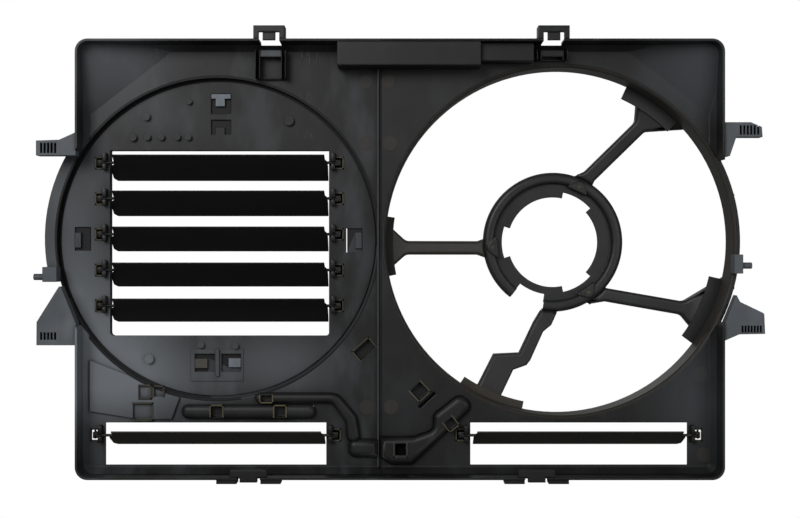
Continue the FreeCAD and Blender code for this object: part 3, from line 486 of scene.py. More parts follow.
# Marks faces inside boxes (low and high x, low and high z, in mm) and between two depths with a share
def paintFaces(work, patch):
    label, front, behind = patch["label"], patch.get("front"), patch.get("behind")
    layer = work.loops.layers.float.get(label) or work.loops.layers.float.new(label)
    for face in work.faces:
        centre = face.calc_center_median() / mm
        deepEnough = behind is None or centre.y > behind
        nearEnough = front is None or centre.y < front
        for x0, x1, z0, z1 in patch["boxes"]:
            inside = x0 <= centre.x <= x1 and z0 <= centre.z <= z1
            if inside and deepEnough and nearEnough:
                for loop in face.loops:
                    loop[layer] = patch["amount"]


painted = {
    # the trays' pocket floors get near-black painted shade
    "tray_left": [{"label": "dark", "amount": 0.85, "behind": -69.6, "boxes": [(-219, -193, -127, -101)]}],
    "tray_right": [{"label": "dark", "amount": 0.85, "behind": -69.6, "boxes": [(-159, -128, -181, -146)]}],
    "louvre_ring": [
        {"label": "pale", "amount": 0.16, "boxes": [(-540, -190, -190, -60)]},
        {"label": "pale", "amount": 0.85, "front": -62.0, "boxes": [(-369, -347, 142, 157)]},
        {"label": "pale", "amount": 0.22, "front": -62.0,
         "boxes": [(-513, -505.5, -7, 10), (-216, -208.5, -8, 10)]},
        {"label": "tan", "amount": 0.35, "front": -62.0, "boxes": [(-386, -372, -134.5, -123)]},
        {"label": "pale", "amount": 0.75, "front": -62.0, "boxes": [(-350.5, -337, -133.5, -123)]},
    ],
    "cable_arm": [{"label": "tan", "amount": 0.22, "boxes": [(-92, -50, -175, -125)]}],
    "divider_rib": [{"label": "pale", "amount": 0.16, "boxes": [(-200, -180, -250, 250)]}],
    "latch_rails_left": [{"label": "pale", "amount": 0.25, "boxes": [(-320, -292, 190, 203)]}],
    "spoke_left": [{"label": "tan", "amount": 0.12, "boxes": [(-180, -75, -20, 10)]}],
    "fan_ring": [{"label": "tan", "amount": 0.10, "boxes": [(-200, 200, -200, 200)]}],
}


# A node's own shape with rounded edges: the sloping ones get one wide crown, which isn't clamped
def mouldedPiece(node):
    work = weldedWork(node)
    for patch in painted.get(node, []):
        paintFaces(work, patch)
    sloping = node in slopingFronts
    width = weighEdges(work, rounding.get(node, usualRounding), sloping)
    segments = 5 if sloping else 3
    mesh = roundedMesh(meshFrom(work, node), width, segments, not sloping, takesWholeFaces(node))
    piece = newPiece(pieceName(node), mesh, bodyOf[node], slotOf[node], ownFinish.get(node))
    evenShading(piece)
    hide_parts(node)


ownShapes = [node for node in frame["nodes"] if "_flap" in node or "_bearing" in node or "_duct" in node]
ownShapes.append("motor_ring")
for nodeName in sorted(frame["nodes"]):
    if nodeName not in ownShapes:
        mouldedPiece(nodeName)
print("moulded pieces:", len(frame["nodes"]) - len(ownShapes))


# Outline of (x, z) corners, each rounded by its own third number
def roundedOutline(corners, steps=6):
    points = []
    count = len(corners)
    for i, corner in enumerate(corners):
        here = Vector(corner[:2])
        if len(corner) < 3:
            points.append(here)
            continue
        bend = corner[2]
        back = (Vector(corners[i - 1][:2]) - here).normalized()
        ahead = (Vector(corners[(i + 1) % count][:2]) - here).normalized()
        half = back.angle(ahead) / 2
        centre = here + (back + ahead).normalized() * (bend / math.sin(half))
        first = here + back * (bend / math.tan(half)) - centre
        last = here + ahead * (bend / math.tan(half)) - centre
        turn = first.angle_signed(last)
        for step in range(steps + 1):
            points.append(centre + Matrix.Rotation(-turn * step / steps, 2) @ first)
    return points


# Solid between two depths on an outline, in mm, with the front's edges rounded
def prismMesh(points, front, back, crown=0.0, segments=5):
    work = bmesh.new()
    low = [work.verts.new((p.x * mm, front * mm, p.y * mm)) for p in points]
    high = [work.verts.new((p.x * mm, back * mm, p.y * mm)) for p in points]
    lid = work.faces.new(low)
    work.faces.new(high[::-1])
    for i in range(len(points)):
        j = (i + 1) % len(points)
        work.faces.new((low[i], high[i], high[j], low[j]))
    bmesh.ops.recalc_face_normals(work, faces=work.faces)
    if crown:
        bmesh.ops.bevel(work, geom=list(lid.edges), offset=crown * mm, segments=segments, profile=0.5,
                        affect="EDGES", clamp_overlap=False)
    return meshFrom(work, "prism")


# Joins or cuts closed meshes exactly
def combined(mesh, others, operation):
    body = addObject("body", mesh)
    tools = [addObject("tool", other) for other in others]
    for tool in tools:
        step = body.modifiers.new("step", "BOOLEAN")
        step.operation = operation
        step.solver = "EXACT"
        step.use_self = True
        step.object = tool
    result = madeMesh(body)
    for spent in [body] + tools:
        bpy.data.objects.remove(spent)
    return result


# A piece from a closed mesh of its own, with its sharp edges softened a little
def shapedPiece(node, mesh, fine, paint=()):
    work = workFrom(mesh)
    bmesh.ops.remove_doubles(work, verts=work.verts, dist=meshRules["sameInShape"] * mm)
    wholeFaces(work, meshRules["flatBefore"])
    smoothed(work)
    for patch in paint:
        paintFaces(work, patch)
    width = weighEdges(work, edgePlan(fine))
    name = pieceName(node)
    soft = roundedMesh(meshFrom(work, name), width, 2)
    piece = newPiece(name, soft, bodyOf[node], slotOf[node], ownFinish.get(node))
    evenShading(piece)
    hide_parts(node)


# Cable ducts: round-topped ridges, hollow from the engine side, with hook windows that end in a closed well
ductShape = {"front": -79.0, "foot": -70.0, "wall": 2.0, "ceiling": 4.0, "wellWall": 1.2, "floor": 1.2,
             "crownSteps": 8, "soft": 0.25, "overlap": 0.2, "past": 1.0, "paint": 0.9}
ducts = {
    "lower_cable_duct": {
        "crown": 7.0,
        "corners": [(-398.3, -170.4, 7.6), (-256.5, -170.4, 7.6),
                    (-256.5, -186.8, 7.6), (-398.3, -186.8, 7.6)],
        "hooks": [{"at": (-360.4, -178.9), "half": (5.9, 5.4)},
                  {"at": (-294.1, -178.6), "half": (5.9, 5.4)}]},
    "upper_cable_duct": {
        "crown": 5.0,
        "corners": [(-321.0, -169.8, 5.3), (-321.0, -159.0, 5.3), (-234.0, -159.0, 16.0),
                    (-213.6, -183.0, 12.0), (-209.0, -211.0, 7.0), (-224.4, -211.0, 7.0),
                    (-226.0, -190.0, 8.0), (-240.0, -169.8, 8.0)],
        "hooks": [{"at": (-308.0, -164.6), "half": (6.5, 3.4)}]},
    "right_cable_duct": {
        "crown": 7.0,
        "corners": [(-189.8, -204.6), (-154.0, -204.6, 9.0), (-133.8, -197.4, 7.0), (-133.8, -181.5, 8.0),
                    (-106.0, -159.5, 9.5), (-88.5, -171.8, 9.5), (-106.5, -188.6, 12.0),
                    (-155.5, -235.0, 9.0), (-178.6, -235.0, 9.0), (-189.8, -226.5)],
        "stub": [(-223.1, -207.4, 7.6), (-190.6, -207.4), (-190.6, -227.0), (-223.1, -227.0, 7.6)],
        "hooks": [{"at": (-167.9, -217.8), "half": (5.6, 6.0)},
                  {"at": (-115.1, -191.0), "half": (5.2, 5.2), "turn": 38.0}]},
}


# Meant to move a closed outline inwards by a wall thickness in mm. It still gives it back unmoved, so a duct's
# channel is as wide as the duct: the face needs its normal, and its outer edges need to take part
def drawnIn(points, wall):
    work = bmesh.new()
    flat = work.faces.new([work.verts.new((p.x, 0, p.y)) for p in points])
    bmesh.ops.inset_region(work, faces=[flat], thickness=wall, use_even_offset=True)
    inner = [Vector((vert.co.x, vert.co.z)) for vert in flat.verts]
    work.free()
    return inner


# Four corners of a hook's window, or of a wall about it, in mm
def windowCorners(hook, wall=0.0):
    wide, tall = [size + wall for size in hook["half"]]
    spin = Matrix.Rotation(math.radians(hook.get("turn", 0.0)), 2)
    return [Vector(hook["at"]) + spin @ Vector((wide * i, tall * j))
            for i, j in ((-1, -1), (1, -1), (1, 1), (-1, 1))]


# Box that holds the middles of a window's walls, for its paint
def windowBox(hook, room=0.1):
    (x, z), (wide, tall) = hook["at"], hook["half"]
    return (x - wide - room, x + wide + room, z - tall - room, z + tall + room)


def ridgeMesh(points, crown):
    return prismMesh(points, ductShape["front"], ductShape["foot"], crown, ductShape["crownSteps"])


def ductPiece(node, spec):
    front, foot, past = ductShape["front"], ductShape["foot"], ductShape["past"]
    ceiling = front + ductShape["ceiling"]
    outline = roundedOutline(spec["corners"], 8)
    channel = prismMesh(drawnIn(outline, ductShape["wall"]), ceiling, foot + past)
    hollow = combined(ridgeMesh(outline, spec["crown"]), [channel], "DIFFERENCE")
    cups = [prismMesh(windowCorners(hook, ductShape["wellWall"]), ceiling - ductShape["overlap"], foot)
            for hook in spec["hooks"]]
    wells = [prismMesh(windowCorners(hook), front - past, foot - ductShape["floor"])
             for hook in spec["hooks"]]
    whole = combined(combined(hollow, cups, "UNION"), wells, "DIFFERENCE")
    if "stub" in spec:
        whole = combined(whole, [ridgeMesh(roundedOutline(spec["stub"], 8), spec["crown"])], "UNION")
    # the wells' insides get near-black painted shade
    paint = {"label": "dark", "amount": ductShape["paint"], "behind": front + 0.3, "front": foot - 0.2,
             "boxes": [windowBox(hook) for hook in spec["hooks"]]}
    shapedPiece(node, whole, ductShape["soft"], [paint])


for nodeName, ductSpec in ducts.items():
    ductPiece(nodeName, ductSpec)
print("ducts:", len(ducts))


# Motor ring: a domed band, an inner flange with notches, and three triangular screw bosses
motorRing = {
    "outer": 76.6, "step": 64.5, "inner": 49.4, "notch": 56.0, "bridge": 58.0,
    "front": -14.0, "seat": -7.0, "wall": 2.5, "outerRound": 5.5, "innerRound": 4.0,
    "bossCorners": [(61.5, -13.3, 1.5), (76.0, 0.0, 6.0), (61.5, 13.3, 1.5)],    # of the boss at 0 degrees
    "bossFront": -15.3, "bossRound": 1.3, "dot": 2.0,
    "screwCircle": 67.0, "screwHole": 2.7, "screwEnd": -11.0, "screws": (65.0, 185.0, 305.0),
    "notchHalf": 18.0, "notchShift": -5.0, "gap": (232.0, 261.0),
    "steps": 192, "holeSteps": 32, "soft": 0.35, "past": 1.0, "pastRing": 4.0,
}


def arc(centre, radius, first, last, steps):
    angles = [math.radians(first + (last - first) * i / steps) for i in range(steps + 1)]
    return [(centre[0] + radius * math.cos(a), centre[1] + radius * math.sin(a)) for a in angles]


# Closed (radius, depth) profile turned about the fan axis
def turnedMesh(profile, steps):
    work = bmesh.new()
    rows = []
    for i in range(steps):
        a = 2 * math.pi * i / steps
        rows.append([work.verts.new(inMetres((r * math.cos(a), y, r * math.sin(a)))) for r, y in profile])
    for i in range(steps):
        here, ahead = rows[i], rows[(i + 1) % steps]
        for j in range(len(profile)):
            k = (j + 1) % len(profile)
            work.faces.new((here[j], here[k], ahead[k], ahead[j]))
    bmesh.ops.recalc_face_normals(work, faces=work.faces)
    return meshFrom(work, "turned")


# Ring sector between two radii and two angles
def sectorPoints(inner, outer, first, last, steps=12):
    near, far = arc((0, 0), inner, first, last, steps), arc((0, 0), outer, first, last, steps)
    return [Vector(point) for point in far + near[::-1]]


def ringProfile(spec):
    outer, step, inner, wall = spec["outer"], spec["step"], spec["inner"], spec["wall"]
    top, seat, big, small = spec["front"], spec["seat"], spec["outerRound"], spec["innerRound"]
    profile = [(outer, 0.0)] + arc((outer - big, top + big), big, 0, -90, 8)
    profile += arc((step + small, top + small), small, 270, 180, 6)
    profile += [(step, seat), (inner, seat), (inner, seat + wall), (step + wall, seat + wall)]
    return profile + [(step + wall, top + wall), (outer - wall, top + wall), (outer - wall, 0.0)]


def motorRingPiece(spec):
    past, pastRing = spec["past"], spec["pastRing"]
    bosses, notches, holes = [], [], []
    for angle in spec["screws"]:
        turn = Matrix.Rotation(math.radians(angle), 2)
        points = [turn @ p for p in roundedOutline(spec["bossCorners"], 8)]
        bosses.append(prismMesh(points, spec["bossFront"], 0.0, spec["bossRound"], 3))
        middle = angle + spec["notchShift"]
        sector = sectorPoints(spec["inner"] - pastRing, spec["notch"], middle - spec["notchHalf"],
                              middle + spec["notchHalf"])
        notches.append(prismMesh(sector, spec["seat"] - past, past))
        centre = turn @ Vector((spec["screwCircle"], 0.0))
        angles = [2 * math.pi * i / spec["holeSteps"] for i in range(spec["holeSteps"])]
        circle = [centre + spec["screwHole"] * Vector((math.cos(a), math.sin(a))) for a in angles]
        holes.append(prismMesh(circle, spec["screwEnd"], past))
    gap = prismMesh(sectorPoints(spec["bridge"], spec["outer"] + pastRing, *spec["gap"]),
                    spec["front"] - 2 * past, past)
    whole = combined(turnedMesh(ringProfile(spec), spec["steps"]), bosses, "UNION")
    shapedPiece("motor_ring", combined(whole, notches + [gap] + holes, "DIFFERENCE"), spec["soft"])


motorRingPiece(motorRing)
print("motor ring")


# Geometry Nodes
def newTree(name, inputs):
    tree = bpy.data.node_groups.new(name, "GeometryNodeTree")
    tree.interface.new_socket("Geometry", in_out="INPUT", socket_type="NodeSocketGeometry")
    for label, kind, value in inputs:
        socket = tree.interface.new_socket(label, in_out="INPUT", socket_type="NodeSocket" + kind)
        if value is not None:
            socket.default_value = value
    tree.interface.new_socket("Geometry", in_out="OUTPUT", socket_type="NodeSocketGeometry")
    start = tree.nodes.new("NodeGroupInput")
    end = tree.nodes.new("NodeGroupOutput")
    return tree, start.outputs, end.inputs


# The plain mesh that a tree makes from a base mesh, its inputs set by their identifiers
def grownMesh(base, tree, values):
    holder = addObject("holder", base)
    grown = holder.modifiers.new(tree.name, "NODES")
    grown.node_group = tree
    for item in tree.interface.items_tree:
        if item.item_type == "SOCKET" and item.in_out == "INPUT" and item.name in values:
            grown[item.identifier] = values[item.name]
    mesh = madeMesh(holder)
    bpy.data.objects.remove(holder)
    return mesh


def closing(tree, end, geometry, materialSocket):
    real = put(tree, "GeometryNodeRealizeInstances", {"Geometry": geometry}).outputs[0]
    done = put(tree, "GeometryNodeSetMaterial", {"Geometry": real, "Material": materialSocket}).outputs[0]
    tree.links.new(done, end["Geometry"])


def named(tree, label, kind):
    return put(tree, "GeometryNodeInputNamedAttribute", {"Name": label}, data_type=kind).outputs["Attribute"]


def vector(tree, **parts):
    return put(tree, "ShaderNodeCombineXYZ", parts).outputs[0]


def together(tree, *geometries):
    join = put(tree, "GeometryNodeJoinGeometry")
    for geometry in geometries:
        tree.links.new(geometry, join.inputs[0])
    return join.outputs[0]


# One flap: its outline gets a thickness and its two pins, and is swung open about its pivot axis
def flapTree():
    tree, start, end = newTree("flapTree", [
        ("Thickness", "Float", 1.8 * mm), ("Pin Radius", "Float", 1.5 * mm), ("Left Pin Start", "Float", 0.0),
        ("Left Pin End", "Float", 0.0), ("Right Pin Start", "Float", 0.0), ("Right Pin End", "Float", 0.0),
        ("Opening", "Float", 0.0), ("Pivot", "Vector", (0, 0, 0)), ("Material", "Material", None)])
    forward = vector(tree, Y=product(tree, start["Thickness"], -0.5))
    front = put(tree, "GeometryNodeSetPosition", {
        "Geometry": start["Geometry"], "Offset": forward}).outputs[0]
    plate = put(tree, "GeometryNodeExtrudeMesh", {
        "Mesh": front, "Offset": vector(tree, Y=start["Thickness"]), "Offset Scale": 1.0,
        "Individual": False}).outputs["Mesh"]
    lid = put(tree, "GeometryNodeFlipFaces", {"Mesh": front}).outputs[0]
    closed = put(tree, "GeometryNodeMergeByDistance", {"Geometry": together(tree, plate, lid),
                                                       "Distance": 0.01 * mm}).outputs[0]
    pins = []
    for side in ("Left", "Right"):
        first, last = start[side + " Pin Start"], start[side + " Pin End"]
        length = mathNode(tree, "ABSOLUTE", mathNode(tree, "SUBTRACT", last, first))
        middle = product(tree, added(tree, first, last), 0.5)
        pin = put(tree, "GeometryNodeMeshCylinder", {"Vertices": 24, "Radius": start["Pin Radius"],
                                                     "Depth": length}).outputs["Mesh"]
        laid = put(tree, "GeometryNodeTransform", {"Geometry": pin, "Translation": vector(tree, X=middle),
                                                   "Rotation": (0.0, math.pi / 2, 0.0)}).outputs[0]
        pins.append(laid)
    opened = put(tree, "GeometryNodeTransform", {
        "Geometry": together(tree, closed, *pins), "Translation": start["Pivot"],
        "Rotation": vector(tree, X=start["Opening"])}).outputs[0]
    closing(tree, end, opened, start["Material"])
    return tree


# Edges about the pivot axis and along X in mm, and the opening at rest in degrees
louvreFlap = {"above": 12.0, "below": 28.4, "opening": 52.0, "left": -475.6, "right": -244.7,
              "pinLeft": -484.9, "pinRight": -237.45}
lowerFlaps = {
    "lower_left_flap": {"above": 11.0, "below": 29.5, "opening": 65.0, "left": -475.0, "right": -247.7,
                        "pinLeft": -484.8, "pinRight": -239.8},
    "lower_right_flap": {"above": 11.0, "below": 29.5, "opening": 65.0, "left": -90.8, "right": 132.7,
                         "pinLeft": -100.6, "pinRight": 140.6, "mirrored": True},
}
flapShape = {"thickness": 1.8, "drawn": 5.0, "pinRadius": 1.5, "soft": 0.35, "softAngle": 40,
             "pinRoots": (6.0, 1.5)}    # how far the two pins start inside the plate's edges
flapMaker = flapTree()


# Flat outline of a flap about its pivot axis, in mm: lugs beside the pivot, lower corners drawn in
def flapOutline(spec):
    left, right, up, down = spec["left"], spec["right"], spec["above"], spec["below"]
    drawn = flapShape["drawn"]
    corners = [(left + drawn, up), (left + drawn, -2.5), (left, -6.5, 1.5), (left + 0.6, 4.0 - down, 3.0),
               (left + 4.6, -down, 2.0), (right - 0.4, -down, 0.6), (right, -8.0), (right - 0.2, 0.5),
               (right - 2.8, 4.5), (right - 3.2, up)]
    if "mirrored" in spec:
        return [(left + right - corner[0], *corner[1:]) for corner in corners[::-1]]
    return corners


def flapPiece(node, spec, pivot):
    work = bmesh.new()
    work.faces.new([work.verts.new((p.x * mm, 0.0, p.y * mm)) for p in roundedOutline(flapOutline(spec), 5)])
    for face in work.faces:
        face.normal_update()
        if face.normal.y < 0:
            face.normal_flip()
    leftRoot, rightRoot = flapShape["pinRoots"][::-1] if "mirrored" in spec else flapShape["pinRoots"]
    mesh = grownMesh(meshFrom(work, node), flapMaker, {
        "Thickness": flapShape["thickness"] * mm, "Pin Radius": flapShape["pinRadius"] * mm,
        "Left Pin Start": (spec["left"] + leftRoot) * mm, "Left Pin End": spec["pinLeft"] * mm,
        "Right Pin Start": (spec["right"] - rightRoot) * mm, "Right Pin End": spec["pinRight"] * mm,
        "Opening": math.radians(spec["opening"]), "Pivot": pivot,
        "Material": materials[usualFinish[slotOf[node]]]})
    piece = newPiece(pieceName(node), mesh, bodyOf[node], slotOf[node])
    bevel = piece.modifiers.new("softEdges", "BEVEL")
    bevel.width = flapShape["soft"] * mm
    bevel.segments = 2
    bevel.angle_limit = math.radians(flapShape["softAngle"])
    bevel.limit_method = "ANGLE"
    bevel.use_clamp_overlap = False
    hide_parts(node)


jointPlace = {joint["name"]: Vector(joint["pos_m"]) for joint in frame["record"]["behaviour"]["joints"]}
flapNodes = sorted(node for node in frame["nodes"] if "_flap" in node)
for nodeName in flapNodes:
    axis = jointPlace[nodeName + "_swing"]
    flapPiece(nodeName, lowerFlaps.get(nodeName, louvreFlap), (0.0, axis.y, axis.z))
print("flaps:", len(flapNodes))


# Copies of a made shape on points, the mirrored ones turned the right way out again
def pairedTree():
    tree, start, end = newTree("pairedTree", [("Shape", "Object", None), ("Material", "Material", None)])
    shape = put(tree, "GeometryNodeObjectInfo", {"Object": start["Shape"]},
                transform_space="ORIGINAL").outputs["Geometry"]
    mirrored = named(tree, "mirrored", "BOOLEAN")
    plain = put(tree, "FunctionNodeBooleanMath", {0: mirrored}, operation="NOT").outputs[0]
    straight = put(tree, "GeometryNodeInstanceOnPoints", {
        "Points": start["Geometry"], "Selection": plain, "Instance": shape}).outputs[0]
    turned = put(tree, "GeometryNodeInstanceOnPoints", {
        "Points": start["Geometry"], "Selection": mirrored, "Instance": shape,
        "Scale": (-1.0, 1.0, 1.0)}).outputs[0]
    real = put(tree, "GeometryNodeRealizeInstances", {"Geometry": turned}).outputs[0]
    flipped = put(tree, "GeometryNodeFlipFaces", {"Mesh": real}).outputs[0]
    closing(tree, end, together(tree, straight, flipped), start["Material"])
    return tree


# Points as a mesh, with one value of each named attribute for each point
def pointMesh(places, attributes):
    mesh = bpy.data.meshes.new("points")
    mesh.from_pydata([tuple(place) for place in places], [], [])
    for label, (kind, values) in attributes.items():
        layer = mesh.attributes.new(label, kind, "POINT")
        for item, value in zip(layer.data, values):
            if kind == "FLOAT_VECTOR":
                item.vector = value
            else:
                item.value = value
    return mesh


# The corner of a bearing next to its flap, in front and below: those named a stand left, those named b right
bearingNodes = sorted(node for node in frame["nodes"] if "_bearing" in node)


def bearingAnchor(node):
    low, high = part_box(node)
    return Vector((high.x if node.endswith("_a") else low.x, low.y, low.z))


def pivotBearings():
    first = bearingNodes[0]
    work = weldedWork(first)
    bmesh.ops.translate(work, verts=work.verts, vec=-bearingAnchor(first))
    width = weighEdges(work, edgePlan(0.35, fold=0.2))
    shape = addObject("bearingShape", roundedMesh(meshFrom(work, "bearingShape"), width, 2))
    points = pointMesh([bearingAnchor(node) for node in bearingNodes],
                       {"mirrored": ("BOOLEAN", [node.endswith("_b") for node in bearingNodes])})
    mesh = grownMesh(points, pairedTree(), {"Shape": shape, "Material": materials["bearingBlack"]})
    bpy.data.objects.remove(shape)
    piece = newPiece("pivotBearings", mesh, "root", "bearing_plastic")
    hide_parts(*bearingNodes)


pivotBearings()
print("bearings:", len(bearingNodes))


# Rims round three sides of a hook window: each point carries half width, bar depth, half height and turn
def rimTree():
    tree, start, end = newTree("rimTree", [("Bar Width", "Float", 1.4 * mm), ("Material", "Material", None)])
    half = put(tree, "ShaderNodeSeparateXYZ", {0: named(tree, "size", "FLOAT_VECTOR")}).outputs
    spin = vector(tree, Y=named(tree, "turn", "FLOAT"))
    rotation = put(tree, "FunctionNodeEulerToRotation", {"Euler": spin}).outputs[0]
    cube = put(tree, "GeometryNodeMeshCube", {"Size": (1.0, 1.0, 1.0)}).outputs["Mesh"]
    bar = start["Bar Width"]
    wide = product(tree, half[0], 2.0)
    tall = product(tree, half[2], 2.0)
    sideways = mathNode(tree, "SUBTRACT", half[0], product(tree, bar, 0.5))
    upwards = mathNode(tree, "SUBTRACT", half[2], product(tree, bar, 0.5))
    bars = []
    for long, high, x, z in ((wide, bar, 0.0, upwards), (bar, tall, sideways, 0.0),
                             (bar, tall, product(tree, sideways, -1.0), 0.0)):
        swung = put(tree, "FunctionNodeRotateVector", {"Vector": vector(tree, X=x, Z=z),
                                                       "Rotation": rotation}).outputs[0]
        moved = put(tree, "GeometryNodeSetPosition", {
            "Geometry": start["Geometry"], "Offset": swung}).outputs[0]
        laid = put(tree, "GeometryNodeInstanceOnPoints", {
            "Points": moved, "Instance": cube, "Rotation": rotation,
            "Scale": vector(tree, X=long, Y=half[1], Z=high)}).outputs[0]
        bars.append(laid)
    closing(tree, end, together(tree, *bars), start["Material"])
    return tree


# Round marks: a thin disc on each point that faces the front, as wide as the point says
def markTree():
    tree, start, end = newTree("markTree", [("Rise", "Float", 0.25 * mm), ("Material", "Material", None)])
    reach = named(tree, "reach", "FLOAT")
    disc = put(tree, "GeometryNodeMeshCylinder", {"Vertices": 40, "Radius": 1.0,
                                                  "Depth": 1.0}).outputs["Mesh"]
    laid = put(tree, "GeometryNodeInstanceOnPoints", {
        "Points": start["Geometry"], "Instance": disc, "Rotation": (math.pi / 2, 0.0, 0.0),
        "Scale": vector(tree, X=reach, Y=reach, Z=start["Rise"])}).outputs[0]
    closing(tree, end, laid, start["Material"])
    return tree


# Half width, bar depth and half height in mm, turn in degrees from a rim that is open below
hookRims = [
    {"at": (-436.3, -158.0), "front": -74.6, "size": (7.6, 1.6, 7.0), "turn": 90},
    {"at": (-422.0, -157.8), "front": -74.6, "size": (6.2, 1.6, 6.4), "turn": 0},
    {"at": (-438.8, -178.9), "front": -74.6, "size": (9.6, 1.6, 11.2), "turn": 90},
    {"at": (-360.4, -177.6), "front": -79.6, "size": (7.4, 3.0, 6.6), "turn": 0},
    {"at": (-294.1, -177.8), "front": -79.6, "size": (7.2, 3.0, 6.6), "turn": 0},
    {"at": (-308.5, -165.0), "front": -79.5, "size": (7.4, 2.4, 4.6), "turn": 180},
    {"at": (-167.9, -218.4), "front": -79.6, "size": (7.6, 3.0, 8.0), "turn": 180},
    {"at": (-115.1, -191.0), "front": -79.6, "size": (6.8, 3.0, 6.8), "turn": 142},
    {"at": (-205.8, -113.9), "front": -70.7, "size": (12.0, 1.6, 7.6), "turn": -41},
    {"at": (-147.5, -157.9), "front": -70.7, "size": (8.6, 1.6, 8.4), "turn": 137},
]
bearingRim = {"outward": 8.5, "back": 7.6, "up": 7.6, "size": (6.6, 1.6, 4.4), "turn": 90}


def hookRimPiece():
    places, sizes, turns = [], [], []
    for rim in hookRims:
        x, z = rim["at"]
        places.append(inMetres((x, rim["front"] + rim["size"][1] / 2, z)))
        sizes.append(inMetres(rim["size"]))
        turns.append(math.radians(rim["turn"]))
    for node in bearingNodes:
        outward = -1 if node.endswith("_a") else 1
        step = inMetres((outward * bearingRim["outward"], bearingRim["back"], bearingRim["up"]))
        places.append(bearingAnchor(node) + Vector(step))
        sizes.append(inMetres(bearingRim["size"]))
        turns.append(math.radians(outward * bearingRim["turn"]))
    points = pointMesh(places, {"size": ("FLOAT_VECTOR", sizes), "turn": ("FLOAT", turns)})
    newPiece("hookRims", grownMesh(points, rimTree(), {"Material": materials["tanRim"]}), "root",
             "tray_plastic", "tanRim")


# Real sizes from the photograph's pixels: mm in a pixel at the rim, the camera's distance from it in mm,
# and the frame's middle in pixels and in mm
photoScale = {"rim": 1.03, "camera": 1300.0, "middle": (400, 259), "at": (-168.4, -18.5)}

# Ejector marks: centre and radius in pixels of the photograph, on the panel and on the cover
panelMarks = [(88.4, 64.8, 5.5), (143.3, 55, 7.5), (365.7, 81.7, 6.5), (388, 81.7, 6.5), (367, 143, 7.5),
              (389.8, 143, 7.5), (366.7, 407.2, 7.6), (391, 407, 7.6), (700.6, 374.6, 8), (704, 455, 7.5)]
coverMarks = [(149, 359, 4.6), (146, 116.5, 4), (132.6, 137.2, 4), (147, 137, 3.4), (161, 137, 3.4),
              (177, 137, 3.4), (188, 137, 3.4), (188.9, 101.3, 3), (288.8, 120.5, 5), (200.5, 344.7, 3.6),
              (235.3, 346, 3.2)]


def markPiece(name, places, reaches, slotName, finish):
    points = pointMesh(places, {"reach": ("FLOAT", reaches)})
    newPiece(name, grownMesh(points, markTree(), {"Material": materials[finish]}), "root", slotName, finish)


def ejectorMarks(name, marks, surface, slotName, finish):
    depth = (surface - rimY) / mm
    scale = photoScale["rim"] * (photoScale["camera"] + depth) / photoScale["camera"]
    (middleX, middleY), (x, z) = photoScale["middle"], photoScale["at"]
    places = [((x + (px - middleX) * scale) * mm, surface, (z + (middleY - py) * scale) * mm)
              for px, py, reach in marks]
    markPiece(name, places, [reach * scale * mm for px, py, reach in marks], slotName, finish)


# The dots on the screw bosses
def bossDots(spec):
    circle, places = spec["screwCircle"], []
    for angle in spec["screws"]:
        a = math.radians(angle)
        places.append(inMetres((circle * math.cos(a), spec["bossFront"], circle * math.sin(a))))
    markPiece("bossDots", places, [spec["dot"] * mm] * len(places), "tray_plastic", "tanRim")


hookRimPiece()
bossDots(motorRing)
ejectorMarks("panelMarks", panelMarks, panelY, "tray_plastic", "markPlastic")
ejectorMarks("coverMarks", coverMarks, coverY, "dusty_plastic", "coverMarkPlastic")
print("rims and marks")


# Camera at the photograph's place, and lamps turned to the middle of the panel
cameraLook = {"place": (-0.1684, -1.400, -0.0185), "lens": 56.8, "clipEnd": 20.0}
lamps = {
    "keyLight": {"place": (-1.1, -2.2, 0.9), "size": 1.2, "watts": 30.0},
    "fillLight": {"place": (1.1, -2.0, 0.1), "size": 1.4, "watts": 12.0},
    "backLight": {"place": (-0.4, 2.0, 1.2), "size": 1.4, "watts": 5.0},
}


def photoCamera():
    data = bpy.data.cameras.new("camera")
    data.lens = cameraLook["lens"]
    data.clip_end = cameraLook["clipEnd"]
    camera = addObject("camera", data)
    camera.location = cameraLook["place"]
    camera.rotation_euler = (math.radians(90), 0, 0)
    bpy.context.scene.camera = camera


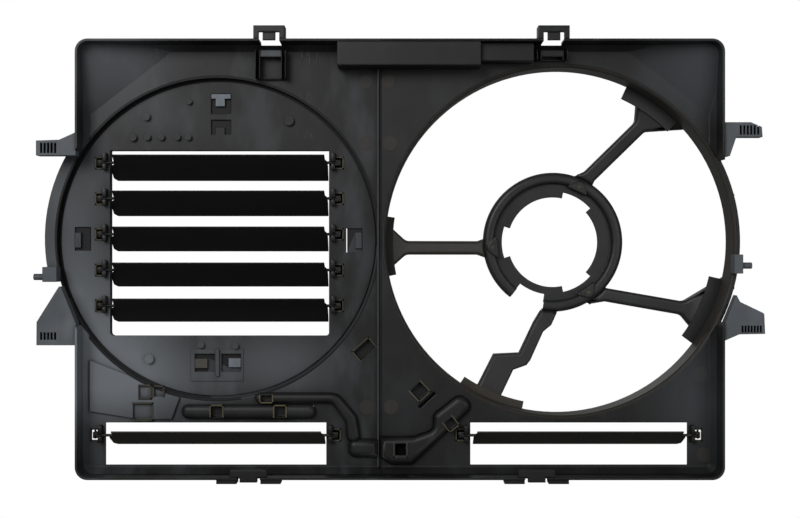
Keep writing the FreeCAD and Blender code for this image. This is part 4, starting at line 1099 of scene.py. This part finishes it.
def softLight(name, look, target):
    data = bpy.data.lights.new(name, "AREA")
    data.shape = "DISK"
    data.size = look["size"]
    data.energy = look["watts"]
    lamp = addObject(name, data)
    lamp.location = look["place"]
    lamp.rotation_euler = (target - Vector(look["place"])).to_track_quat("-Z", "Y").to_euler()


photoCamera()
panelMiddle = Vector(((cadBox[0].x + cadBox[1].x) / 2, panelY, 0.0))
for lampName, lampLook in lamps.items():
    softLight(lampName, lampLook, panelMiddle)


# The surround is white to the camera, and gives less to the plastic's own light and reflections
surround = {"soft": 0.30, "mirrored": 0.12, "floorTone": 0.3, "floorReach": 4.0, "floorBelow": 1.0 * mm}


def whiteSurround():
    world = bpy.data.worlds.new("surround")
    bpy.context.scene.world = world
    world.use_nodes = True
    tree = world.node_tree
    tree.nodes.clear()
    soft, mirrored = surround["soft"], surround["mirrored"]
    path = put(tree, "ShaderNodeLightPath")
    seen = product(tree, path.outputs["Is Camera Ray"], 1.0 - soft)
    reflected = product(tree, path.outputs["Is Glossy Ray"], mirrored - soft)
    strength = added(tree, added(tree, seen, reflected), soft)
    light = put(tree, "ShaderNodeBackground", {"Color": (1, 1, 1, 1), "Strength": strength})
    put(tree, "ShaderNodeOutputWorld", {"Surface": light.outputs["Background"]})


def paleFloor():
    material, tree = newMaterial("floorPaint")
    grey, reach = surround["floorTone"], surround["floorReach"]
    seen = put(tree, "ShaderNodeLightPath").outputs["Is Camera Ray"]
    paint = put(tree, "ShaderNodeBsdfDiffuse", {"Color": (grey, grey, grey, 1)})
    glow = put(tree, "ShaderNodeEmission", {"Color": (1, 1, 1, 1), "Strength": 1.0})
    both = put(tree, "ShaderNodeMixShader", {0: seen, 1: paint.outputs[0], 2: glow.outputs[0]})
    put(tree, "ShaderNodeOutputMaterial", {"Surface": both.outputs[0]})
    mesh = bpy.data.meshes.new("floor")
    below = cadBox[0].z - surround["floorBelow"]
    corners = [(x * reach, y * reach, below) for x, y in ((-1, -1), (1, -1), (1, 1), (-1, 1))]
    mesh.from_pydata(corners, [], [(0, 1, 2, 3)])
    mesh.materials.append(material)
    addObject("floor", mesh)


whiteSurround()
paleFloor()
bpy.context.scene.view_settings.view_transform = "Standard"
print("camera, lights and surround")
